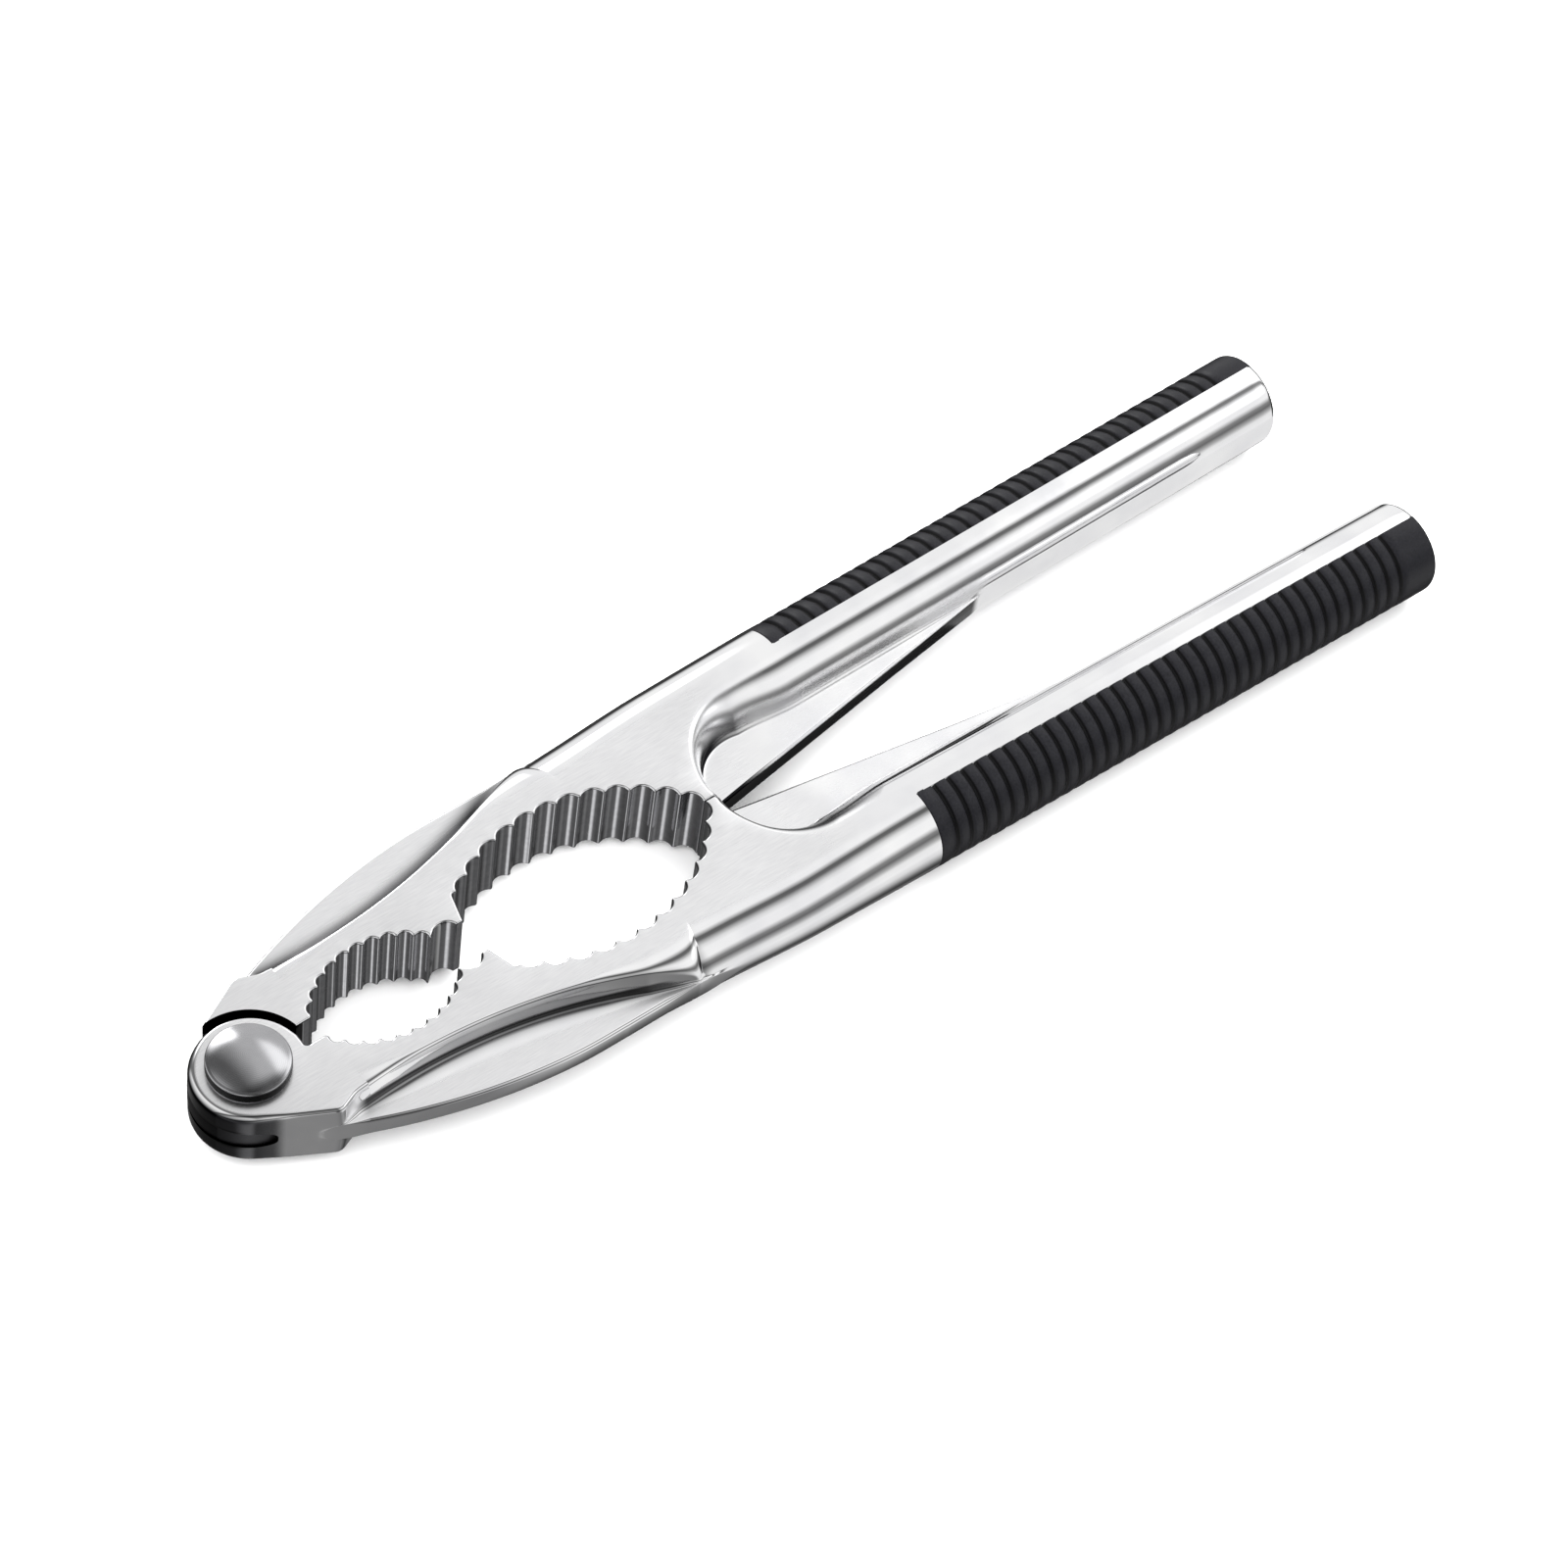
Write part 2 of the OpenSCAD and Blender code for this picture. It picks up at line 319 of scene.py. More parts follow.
# %% Tube, web and scoop
GRIP_X0 = grip_low[0]
TUBE_END_R = 1.0
TUBE_X1 = arm_high[0] - TUBE_END_R
CREST = 0.15
SCOOP_C = np.array([79.8, 1.0])
WEB_X0, WEB_Y0, WEB_X1, WEB_Y1 = 69.6, 0.35, 122.5, 8.76
WEB_SLOPE = (WEB_Y1 - WEB_Y0) / (WEB_X1 - WEB_X0)
FLANGE_Z = 1.5


def xy(x, y):
    """Two coordinate arrays as one array of points."""
    return np.stack(np.broadcast_arrays(x, y), 1).astype(float)


def web_line(x):
    """Free edge of the inner web."""
    return WEB_Y0 + (x - WEB_X0) * WEB_SLOPE


def tube_inner():
    """Inner side of the handle, from its end to the scoop."""
    x = np.r_[np.arange(TUBE_X1, 128, -1.5), np.arange(128, 90, -0.5),
              np.arange(90, 80.2, -0.35)]
    near = 1 - ease(x, 80, 89)
    wall = xy(x, axis_y(x) - HANDLE_R + 0.85 * near)
    flat = xy(x, axis_y(x) - CREST - 0.6 * near)
    has_web = 1 - ease(x, 119, 122.4)
    edge = xy(x, np.where(has_web > 0, np.minimum(web_line(x), wall[:, 1]), wall[:, 1]))
    return stretch(wall, flat, edge, roll=face_z(flat[:, 0]), flange=has_web,
                   foot=0.75 + 0.15 * near)


def scoop():
    """Rolled wall behind the throat: two curves at distances from the scoop's centre."""
    angle = np.linspace(90, 179, 90)
    turned = (1 - ((180 - angle) / 90) ** 2) ** 1.2
    wall_r = 7.41 + 2.19 * turned
    flat_r = 12.3 - 1.55 * turned + 0.25 * ease(angle, 150, 180)
    wall = SCOOP_C + wall_r[:, None] * unit(angle)
    flat = SCOOP_C + flat_r[:, None] * unit(angle)
    edge_x = np.interp(angle, [90, 180], [80.0, 71.0])
    height = face_z(flat[:, 0])
    low = ease(angle, 95, 165)
    return stretch(wall, flat, xy(edge_x, web_line(edge_x)), roll=height - low * (height - 3.9),
                   flange=1.0, foot=0.9 - 0.3 * low)


def throat():
    """Corner from the scoop to the land where the two levers meet."""
    first = scoop()
    corner_wall = rounded_path([first["wall"][-1], (70.2, LAND_Y), (68.6, LAND_Y)], [0.5], 0.1)
    corner_flat = rounded_path([first["flat"][-1], (68.85, LAND_Y + RIM), (68.6, LAND_Y + RIM)],
                               [0.1], 0.02)
    count = len(corner_wall)
    flat = resample(corner_flat, count, closed_end=True)
    t = np.linspace(0, 1, count)
    fade = 1 - ease(t, 0, 0.35)
    edge = corner_wall + fade[:, None] * (first["edge"][-1] - corner_wall)
    return stretch(corner_wall, flat, edge, roll=RIM + (3.9 - RIM) * (1 - ease(t, 0, 0.9)),
                   flange=fade, foot=0.6)


print("stations from the tube's end to the land:",
      sum(len(s["wall"]) for s in (tube_inner(), scoop(), throat())))


# %% Head, outer wall and flange
HEAD_WALL, HEAD_ANGLE = 7.48, 27.6
NOSE_C, NOSE_R = np.array([0.0, 0.25]), 7.25
CURL = [(5.5, 11.31), (8.3, 10.13)]
CURL_R = [1.6, 4.0]
OUTER_X0, LEAF_X0 = 10.0, 2.5
CORE_C, CORE_R = np.array([15.0, 91.3]), 81.45
LEAF_C, LEAF_R = np.array([41.3, -65.65]), 84.9
LEAF_TOP = 19.15
EDGE_ROUND, NOSE_ROUND, BACK_ROUND = 0.6, 1.1, 0.32
DISH, DRAFT = 0.9, 0.55
BED_DEPTH = 0.8


def core_line(x):
    """Wall of the jaw above the flange: the near side of a large circle."""
    return CORE_C[1] - np.sqrt(CORE_R ** 2 - (x - CORE_C[0]) ** 2)


def side_line(x):
    """Outermost line: the flange's arc, then a straight run into the tube's side."""
    arc = LEAF_C[1] + np.sqrt(np.maximum(LEAF_R ** 2 - (x - LEAF_C[0]) ** 2, 0))
    capped = -soft_max([-arc, np.full_like(arc, -LEAF_TOP)], 0.08)
    leaf = np.where(x < LEAF_C[0], capped, LEAF_TOP)
    share = ease(x, 48, 72)
    return leaf * (1 - share) + (axis_y(x) + HANDLE_R) * share


def head_and_curl(forked):
    """From the inlet round the head to the start of the outer wall."""
    foot = HEAD_WALL * unit(90 + HEAD_ANGLE)
    if forked:
        tangent = NOSE_C + NOSE_R * unit(90 + HEAD_ANGLE)
        start = NOSE_C + NOSE_R * unit(10.5)
        inlet = rounded_path([(8, INLET_Y), start, start - 2 * unit(75)], [0.6], 0.15)
        disc = NOSE_C + NOSE_R * unit(np.linspace(-6, -360 + 90 + HEAD_ANGLE, 260))
        rest = rounded_path([tangent, *CURL, (OUTER_X0, core_line(OUTER_X0))], CURL_R, 0.15)
        path = np.concatenate([inlet[inlet[:, 1] > 1.1], disc, rest[1:]])
        length = np.hypot(*np.diff(path, axis=0).T).sum()
        path = resample(path, int(length / HEAD_STEP), closed_end=True)
    else:
        corners = [(8, INLET_Y), (0.5, INLET_Y), foot, *CURL, (OUTER_X0, core_line(OUTER_X0))]
        path = rounded_path(corners, [1.2, 1.2, *CURL_R], HEAD_STEP)
    x = path[:, 0]
    outer = (path[:, 1] > 8) & (x > LEAF_X0)
    edge_x = np.interp(x, [LEAF_X0, 7.4, OUTER_X0], [LEAF_X0, 7.9, OUTER_X0 + 0.3])
    edge = np.where(outer[:, None], xy(edge_x, side_line(edge_x)), path)
    edge_round = EDGE_ROUND if forked else BACK_ROUND
    rim = RIM + (edge_round - RIM) * ease(np.hypot(*(path - path[0]).T), 0.5, 3)
    rim = rim + (NOSE_ROUND - EDGE_ROUND) * ease(-x, -1.0, 5.0) * forked
    flat = path - rim[:, None] * left_normal(path)
    begun = np.where(outer, ease(x, LEAF_X0, 5.0), 0)
    return stretch(path, flat, edge, roll=rim, flange=begun, foot=0.4, dish=DISH * begun)


def outer_side(forked):
    """Outer wall with its flange, and on into the tube's outer side and the bed of the grip.
    The rounding grows to the tube's quarter circle as the wall nears the side."""
    x = np.r_[np.arange(OUTER_X0, 76, 0.35), np.arange(76, GRIP_X0 - 0.1, 0.5), GRIP_X0 - 0.05,
              GRIP_X0 + 0.05, np.arange(GRIP_X0 + 1, 128, 1.0), np.arange(128, TUBE_X1, 1.5),
              TUBE_X1]
    side = side_line(x)
    core = np.where(x < 60, core_line(np.minimum(x, 60)), 99.0)
    bed = BED_DEPTH * (x > GRIP_X0)
    wall = xy(x, -soft_max([-core, -side], 0.35) - bed)
    edge_x = np.interp(x, [OUTER_X0, 15, 54, 200], [OUTER_X0 + 0.3, 15.1, 54, 200])
    has_leaf = 1 - ease(x, 53, 60)
    edge = np.where((has_leaf > 0)[:, None], xy(edge_x, side_line(edge_x)), wall)
    edge_round = EDGE_ROUND if forked else BACK_ROUND
    full = HANDLE_R - CREST
    gap = side - np.minimum(core, side)
    inward = np.minimum(soft_max([np.full_like(x, edge_round), full - gap], 0.25), full)
    normal = left_normal(wall)
    flat = wall - inward[:, None] * normal
    flat[x > 80] = xy(x, axis_y(x) + CREST)[x > 80]
    drop = face_z(x) * (1 - np.sqrt(np.maximum(1 - (inward / full) ** 2, 0)))
    roll = np.minimum(soft_max([np.full_like(x, edge_round), drop], 0.2), face_z(x))
    return stretch(wall, flat, edge, roll=roll, flange=has_leaf, foot=0.4, sink=bed, dish=DISH)


print("stations round the fork's head:", len(head_and_curl(True)["wall"]),
      "and round the tongue's:", len(head_and_curl(False)["wall"]))


# %% [markdown]
# ## From the loop to a closed casting
# Across the loop the profile runs from the flat's edge over a quarter ellipse, down the wall,
# round a small fillet onto the flange, out to the flange's rounded edge and down to the middle
# plane. The flat itself is filled with triangles between its edges, and the underside is the
# mirror image. The round end of the tube is closed by rings that shrink to a point.

# %% Profile rows
ROLL_ROWS, WALL_ROWS, FOOT_ROWS, LEAF_ROWS, RIM_ROWS = 10, 4, 5, 10, 5


def flange_steps(width, dish, foot, foot_z, start, slope):
    """Distances from the wall and heights, from the wall's foot to z = 0: a quadratic curve round
    the corner, the flange, a quarter circle at its edge, and a straight drop."""
    bowl = np.maximum(0.6 * width, 0.1)

    def leaf_z(offset):
        """Flange height at a distance from the wall: level, with a parabola up to the wall."""
        return FLANGE_Z + dish * (1 - np.clip(offset / bowl, 0, 1)) ** 2

    corner = start + foot * slope
    end = corner + np.minimum(foot, 0.4 * width)
    rim = np.minimum(0.55, 0.35 * np.maximum(width - np.maximum(end, 0), 0.01))
    steps = []
    fall = 2 * dish / bowl * (1 - np.clip(end / bowl, 0, 1))
    corner_z = leaf_z(end) + fall * (end - corner)
    for k in range(1, FOOT_ROWS + 1):
        t = k / FOOT_ROWS
        steps.append(((1 - t) ** 2 * start + 2 * t * (1 - t) * corner + t * t * end,
                      (1 - t) ** 2 * foot_z + 2 * t * (1 - t) * corner_z + t * t * leaf_z(end)))
    for k in range(1, LEAF_ROWS + 1):
        offset = end + (width - rim - end) * k / LEAF_ROWS
        steps.append((offset, leaf_z(offset)))
    for k in range(1, RIM_ROWS + 1):
        angle = math.pi / 2 * k / RIM_ROWS
        steps.append((width - rim * (1 - math.sin(angle)),
                      leaf_z(width) - rim * (1 - math.cos(angle))))
    steps.append((width, 0 * width))
    return steps


def profile_rows(s):
    """Points for every row and station of a stretch, from the flat's edge to z = 0."""
    top = face_z(s["flat"][:, 0]) - s["sink"]
    roll = np.minimum(s["roll"], top)
    width = np.hypot(*(s["edge"] - s["wall"]).T)
    dish = s["dish"] * np.clip(width / 5, 0, 1)
    foot_z = FLANGE_Z + s["foot"] + dish
    inward = s["flat"] - s["wall"]

    def lean_in(z):
        """How far the quarter ellipse stands back from the wall at a height."""
        rise = np.clip((z - (top - roll)) / roll, 0, 1)
        return 1 - np.sqrt(1 - rise ** 2)

    step_in = np.hypot(*inward.T)
    inward_unit = inward / step_in[:, None]
    out = (s["edge"] - s["wall"]) / np.maximum(width, 1e-6)[:, None]
    draft = DRAFT * np.clip(width / 3, 0, 1) * s["dish"] / DISH * (1 - ease(s["roll"], 1.5, 4))
    wall_top = top - roll

    def offset_at(z):
        """Distance outward from the wall line: behind it on the roll, before it on the draft."""
        down = np.clip((wall_top - z) / np.maximum(wall_top - foot_z, 0.1), 0, 1)
        return draft * down - lean_in(z) * step_in

    def spread(offset):
        """Points at distances from the wall line, inward or towards the flange's edge."""
        return s["wall"] + np.where((offset < 0)[:, None], -offset[:, None] * inward_unit,
                                    offset[:, None] * out)

    def on_section(z):
        return spread(offset_at(z))

    turn = np.arccos(np.clip(1 - (top - foot_z) / roll, 0, 1))
    turn *= 1 - 0.3 * ease(roll, 0.8, 4)
    rows = []
    for k in range(ROLL_ROWS + 1):
        angle = turn * k / ROLL_ROWS
        z = top - roll * (1 - np.cos(angle))
        point = s["wall"] + (1 - np.sin(angle))[:, None] * inward
        if k == 0:
            z = z + s["sink"]
        rows.append((point, z))
    z_roll = rows[-1][1]
    for k in range(1, WALL_ROWS + 1):
        z = z_roll + (foot_z - z_roll) * k / WALL_ROWS
        rows.append((on_section(z), z))
    start = offset_at(foot_z)
    slope = (start - offset_at(foot_z + 0.02)) / 0.02
    steps = flange_steps(width, dish, s["foot"], foot_z, start, slope)
    count = len(steps)
    for k, (offset, z_flange) in enumerate(steps, 1):
        z_plain = foot_z * (1 - k / count)
        share = s["flange"][:, None]
        point = on_section(z_plain) * (1 - share) + spread(offset) * share
        rows.append((point, z_plain * (1 - s["flange"]) + z_flange * s["flange"]))
    return np.array([np.c_[point, z] for point, z in rows])


# %% Rows of the toothed walls
def toothed_rows():
    """The same rows for the toothed walls, whose rim is cut by the enlarged flutes."""
    rings = [toothed_line(RIM * (1 - math.sin(math.pi / 2 * k / ROLL_ROWS)), tooth_counts)[0]
             for k in range(ROLL_ROWS + 1)]
    top = face_z(rings[0][:, 0])
    rows = [np.c_[ring, top - RIM * (1 - math.cos(math.pi / 2 * k / ROLL_ROWS))]
            for k, ring in enumerate(rings)]
    below = WALL_ROWS + FOOT_ROWS + LEAF_ROWS + RIM_ROWS + 1
    for k in range(1, below + 1):
        rows.append(np.c_[rings[-1], (top - RIM) * (1 - k / below)])
    return np.array(rows)


# %% Join the stretches, fill the flat, close the end
from mathutils.geometry import delaunay_2d_cdt


def strip_faces(rows, columns, first=0):
    """Quads of a grid of rows x columns whose vertices are numbered row by row."""
    grid = first + np.arange(rows * columns).reshape(rows, columns)
    corners = [grid[:-1, :-1], grid[1:, :-1], grid[1:, 1:], grid[:-1, 1:]]
    return np.stack(corners, -1).reshape(-1, 4)


def fill_flat(ring):
    """Triangles between the edges of the top face, with rows of points where it curves. A point
    is inside where a ray along +X crosses the ring an odd number of times."""
    x = np.arange(66, 90, 1.0)
    inner = np.concatenate([xy(x, axis_y(x) + d) for d in (-8, -6, -4, -2.5, -1, 0.0, 1, 2)])
    x0, y0 = ring.T[:, :, None]
    x1, y1 = np.roll(ring, -1, 0).T[:, :, None]
    crosses = (y0 > inner[:, 1]) != (y1 > inner[:, 1])
    with np.errstate(divide="ignore", invalid="ignore"):
        at = x0 + (inner[:, 1] - y0) * (x1 - x0) / (y1 - y0)
    inner = inner[(crosses & (inner[:, 0] < at)).sum(0) % 2 == 1]
    gap = np.min(np.hypot(*(inner[:, None] - ring[None]).transpose(2, 0, 1)), 1)
    points = np.concatenate([ring, inner[gap > 0.35]])
    made = delaunay_2d_cdt([tuple(p) for p in points], [], [list(range(len(ring)))], 1, 1e-7)
    flat = np.array(made[0])
    return np.c_[flat, face_z(flat[:, 0])], np.array(made[2])


def casting(name, forked):
    """Closed mesh of one lever, before the slot, the recess and the bore are cut."""
    parts = [profile_rows(s) for s in (tube_inner(), scoop(), throat())]
    parts.append(toothed_rows())
    parts += [profile_rows(s) for s in (head_and_curl(forked), outer_side(forked))]
    grid = np.concatenate(parts, axis=1)
    rows, columns = grid.shape[:2]
    flat_points, flat_faces = fill_flat(grid[0, :, :2])
    ring = np.concatenate([grid[::-1, 0], grid[:, -1]])
    centre = np.array([TUBE_X1, axis_y(TUBE_X1), 0])
    caps = [ring]
    for k in range(1, 9):
        angle = math.pi / 2 * k / 8
        shrink = 1 - TUBE_END_R / HANDLE_R * (1 - math.cos(angle))
        caps.append(centre + (ring - centre) * shrink + [TUBE_END_R * math.sin(angle), 0, 0])
    rim_ring = caps[-1]
    tip = centre + [TUBE_END_R, 0, 0]
    caps += [tip + (rim_ring - tip) * (1 - t) for t in (0.25, 0.5, 0.75, 1)]
    cap = np.array(caps)
    points = [grid.reshape(-1, 3), flat_points, cap.reshape(-1, 3)]
    starts = np.cumsum([0] + [len(p) for p in points])
    quads = np.concatenate([strip_faces(rows, columns),
                            strip_faces(len(caps), len(ring), starts[2])])
    faces = [list(q) for q in quads] + [list(f + starts[1]) for f in flat_faces]
    half = np.concatenate(points)
    both = np.concatenate([half, half * [1, 1, -1]])
    faces += [[i + len(half) for i in reversed(f)] for f in faces]
    if forked:
        both *= [1, -1, 1]
    both[:, 2] += MID_Z
    print(name, "stations", columns, "rows", rows, "faces", len(faces))
    return both, faces


# %% [markdown]
# ## Cut the joint
# One head is a fork and the other a tongue that turns in it. The gap between them is an arc
# about the pivot, as a round cutter would leave it. So discs on the pivot's axis are the tools
# here: they cut the slot and the recesses, one is added as the tongue, and a bore goes through
# both levers. A tenth of a millimetre is left above and below the tongue, so that it can turn.

# %% The two levers
PIVOT = np.array([0.0, 0.0])
SLOT_R, SLOT_H, SLOT_RIM = 7.92, 3.6, 1.5
RECESS_R, TONGUE_R, TONGUE_H = 7.9, 7.15, 3.36
SHANK_R = 3.0


def disc(name, radius, low, high, rim=0.0, turns=192):
    """Closed cylinder on the pivot axis with quarter-circle rims, to cut or join with."""
    angle = np.linspace(0, math.pi / 2, 9 if rim else 1)
    side = radius - rim * (1 - np.sin(angle))
    top = high - rim * (1 - np.cos(angle))
    bottom = low + rim * (1 - np.cos(angle))
    if not rim:
        side, top, bottom = np.array([radius]), np.array([high]), np.array([low])
    profile = [(0, low), *zip(side, bottom), *zip(side[::-1], top[::-1]), (0, high)]
    return revolve(name, profile, PIVOT, turns)


front = make_mesh("front_lever", *casting("front_lever", True))
cut(front, disc("slot", SLOT_R, MID_Z - SLOT_H / 2, MID_Z + SLOT_H / 2, SLOT_RIM), "DIFFERENCE")
cut(front, disc("bore", SHANK_R, -1, 2 * MID_Z), "DIFFERENCE")

back = make_mesh("back_lever", *casting("back_lever", False))
cut(back, disc("recess_top", RECESS_R, MID_Z + TONGUE_H / 2, 3 * MID_Z), "DIFFERENCE")
cut(back, disc("recess_low", RECESS_R, -MID_Z, MID_Z - TONGUE_H / 2), "DIFFERENCE")
cut(back, disc("tongue", TONGUE_R, MID_Z - TONGUE_H / 2, MID_Z + TONGUE_H / 2, 0.5), "UNION")
cut(back, disc("bore", SHANK_R + 0.05, -1, 2 * MID_Z), "DIFFERENCE")
for lever in (front, back):
    finish_shading(lever, 35)
    print(lever.name, "vertices", len(lever.data.vertices))


# %% [markdown]
# ## The rivet
# One steel rivet holds the levers. It has a domed head, a shank and a tail that was formed flat
# in a press. It is round about its axis, so it is a profile turned as on a lathe. The profile's
# corners are small curves, because a formed edge is never sharp and would catch no light.

# %% Turn the rivet
EAR_HALF = 4.65
EAR_TOP, EAR_LOW = MID_Z + EAR_HALF, MID_Z - EAR_HALF
HEAD_WALL_H, RIM_R = 1.4, 5.13
HEAD_DOME = rivet_high[2] - EAR_TOP - HEAD_WALL_H


def rounded_profile(corners, radii, steps=8):
    """Profile of straight runs with rounded corners, as points (r, z)."""
    corners = np.array(corners, float)
    out = [corners[:1]]
    for before, corner, after, radius in zip(corners, corners[1:], corners[2:], radii):
        if radius == 0:
            out.append(corner[None])
            continue
        a = (before - corner) / np.hypot(*(before - corner))
        b = (after - corner) / np.hypot(*(after - corner))
        t = np.linspace(0, 1, steps)[:, None]
        out.append(corner + radius * (a * (1 - t) ** 2 + b * t ** 2))
    return np.concatenate(out + [corners[-1:]])


def rivet():
    """Revolved profile: formed tail, shank, flat underside, straight wall and low dome."""
    dome_r = RIM_R - 0.1
    ball = (dome_r ** 2 + HEAD_DOME ** 2) / (2 * HEAD_DOME)
    out = np.linspace(dome_r, 0, 40)
    top = EAR_TOP + HEAD_WALL_H
    dome = np.c_[out, top + HEAD_DOME - ball + np.sqrt(ball ** 2 - out ** 2)]
    body = rounded_profile([(0, 0), (4.2, 0), (4.6, 0.4), (4.6, EAR_LOW + 0.05),
                            (SHANK_R, EAR_LOW + 0.05), (SHANK_R, EAR_TOP - 0.12),
                            (RIM_R - 0.1, EAR_TOP - 0.12), (RIM_R, EAR_TOP + 0.1),
                            (RIM_R, top), (dome[2, 0], dome[2, 1])],
                           [0.25, 0.25, 0, 0, 0, 0.05, 0.08, 0.22])
    return revolve("rivet", np.concatenate([body, dome[3:]]), PIVOT)


pin = rivet()


# %% [markdown]
# ## The grips
# Each grip is a half-round rubber strip in a bed along the outer half of the handle, with
# narrow grooves across it and a smooth end. It is the section of a thick half ring, carried
# along the handle, and only its outer radius changes from station to station: down into each
# groove, slightly up between them, and round at both ends.

# %% Carry the section along the handle
GRIP_X1 = arm_high[0]
GROOVE_X0, GROOVE_PITCH, GROOVES = 92.3, 2.238, 35
GROOVE_HALF, GROOVE_DEPTH, CROWN_DIP = 0.32, 0.42, 0.05
GRIP_START_R, GRIP_END_R, GRIP_THICK = 0.25, 0.9, 1.6


def grip(name, side):
    """Half-round ribbed strip: its section, a thick half ring, is carried along the handle."""
    last = GROOVE_X0 + GROOVE_PITCH * (GROOVES - 1)
    fine = np.concatenate([g + np.array([-0.42, -0.3, -0.22, -0.12, 0, 0.12, 0.22, 0.3, 0.42])
                           for g in GROOVE_X0 + GROOVE_PITCH * np.arange(GROOVES)])
    crown = GROOVE_X0 + GROOVE_PITCH * (np.arange(GROOVES - 1)[:, None] + [0.35, 0.5, 0.65])
    end = GRIP_X1 - GRIP_END_R * (1 - np.cos(np.radians(np.linspace(0, 90, 8))))[::-1]
    start = GRIP_X0 + GRIP_START_R * (1 - np.cos(np.radians(np.linspace(0, 90, 5))))
    plain = [GRIP_X0 + 1, last + 1.5, last + 3]
    x = np.sort(np.concatenate([fine, crown.ravel(), start, plain, end]))
    number = np.clip(np.round((x - GROOVE_X0) / GROOVE_PITCH), 0, GROOVES - 1)
    nearest = GROOVE_X0 + GROOVE_PITCH * number
    away = np.abs(x - nearest)
    groove = GROOVE_DEPTH * np.clip(1 - (away / GROOVE_HALF) ** 2, 0, 1) ** 0.6
    dip = CROWN_DIP * np.cos(np.pi * np.clip(away / GROOVE_PITCH, 0, 0.5)) ** 2
    outer = HANDLE_R - groove - dip
    for radius, past in ((GRIP_START_R, GRIP_X0 + GRIP_START_R - x),
                         (GRIP_END_R, x - GRIP_X1 + GRIP_END_R)):
        outer -= radius - np.sqrt(np.maximum(radius ** 2 - np.maximum(past, 0) ** 2, 0))
    inner = HANDLE_R - GRIP_THICK
    bend = np.radians(np.linspace(-89.6, 89.6, 57))
    rim = np.linspace(1, 0, 4)[1:-1]
    depth = np.concatenate([np.ones(57), rim, np.zeros(57), rim[::-1]])
    angle = np.concatenate([bend, [bend[-1]] * 2, bend[::-1], [bend[0]] * 2])
    radius = inner + (outer - inner)[:, None] * depth
    closing = np.full((1, len(angle)), inner)
    radius = np.concatenate([closing, radius, closing])
    x = np.r_[x[0], x, x[-1]]
    across = axis_y(x)[:, None] + radius * np.cos(angle)
    points = np.stack([np.repeat(x[:, None], len(angle), 1), side * across,
                       MID_Z + radius * np.sin(angle)], -1)
    rows, columns = points.shape[:2]
    grid = np.arange(rows * columns).reshape(rows, columns)
    after = np.roll(grid, -1, 1)
    quads = np.stack([grid[:-1], grid[1:], after[1:], after[:-1]], -1).reshape(-1, 4)
    return make_mesh(name, points.reshape(-1, 3), quads, 50)


front_strip = grip("front_strip", -1)
back_strip = grip("back_strip", 1)


# %% [markdown]
# ## Materials: first the small helpers
# Every finish below is a small network of nodes: a noise or a mask in real millimetres, a ramp
# or a mix that turns it into colour, roughness or height, and the shader. A few helpers keep
# those networks short. Colours are written as the hex codes a painter would read off a chart.

# %% Material helpers
MM = 1000.0


def linear(code):
    """Colour written as sRGB hex, turned to the linear values that shaders use."""
    srgb = [int(code[i:i + 2], 16) / 255 for i in (1, 3, 5)]
    return [c / 12.92 if c <= 0.04045 else ((c + 0.055) / 1.055) ** 2.4 for c in srgb] + [1.0]


def node(tree, kind, inputs=(), **settings):
    """Adds one node: settings are its own options, inputs maps a socket to a value or a link."""
    made = tree.nodes.new("ShaderNode" + kind)
    for key, value in settings.items():
        setattr(made, key, value)
    for key, value in dict(inputs).items():
        if isinstance(value, bpy.types.NodeSocket):
            tree.links.new(value, made.inputs[key])
        else:
            made.inputs[key].default_value = value
    return made


def calc(tree, operation, *values):
    """One step of arithmetic on numbers or sockets."""
    return node(tree, "Math", dict(enumerate(values)), operation=operation).outputs[0]


def fade(tree, value, start, end):
    """0 before start, 1 after end, smooth between; start may be the larger one."""
    low, high = min(start, end), max(start, end)
    made = node(tree, "MapRange", {"Value": value, "From Min": low, "From Max": high,
                                   "To Min": float(start > end), "To Max": float(start < end)},
                interpolation_type="SMOOTHSTEP")
    return made.outputs["Result"]


def ramp(tree, fac, stops):
    """Colour ramp whose stops are (place, hex)."""
    made = node(tree, "ValToRGB", {"Fac": fac})
    line = made.color_ramp
    while len(line.elements) < len(stops):
        line.elements.new(0.5)
    for element, (place, code) in zip(line.elements, stops):
        element.position = place
        element.color = linear(code)
    return made.outputs["Color"]


def blend(tree, share, first, second):
    """Mix of two colours, hex or socket."""
    first, second = (linear(c) if isinstance(c, str) else c for c in (first, second))
    made = node(tree, "Mix", {"Factor": share}, data_type="RGBA")
    for socket, value in ((made.inputs[6], first), (made.inputs[7], second)):
        if isinstance(value, bpy.types.NodeSocket):
            tree.links.new(value, socket)
        else:
            socket.default_value = value
    return made.outputs[2]


def noise(tree, place, grain, detail=2.0, stretch=(1, 1, 1)):
    """Noise whose lumps are about grain millimetres across, stretched along the axes."""
    spread = node(tree, "Mapping", {"Vector": place, "Scale": [MM / (grain * s) for s in stretch]})
    made = node(tree, "TexNoise", {"Vector": spread.outputs[0], "Scale": 1.0, "Detail": detail})
    return made.outputs["Fac"]


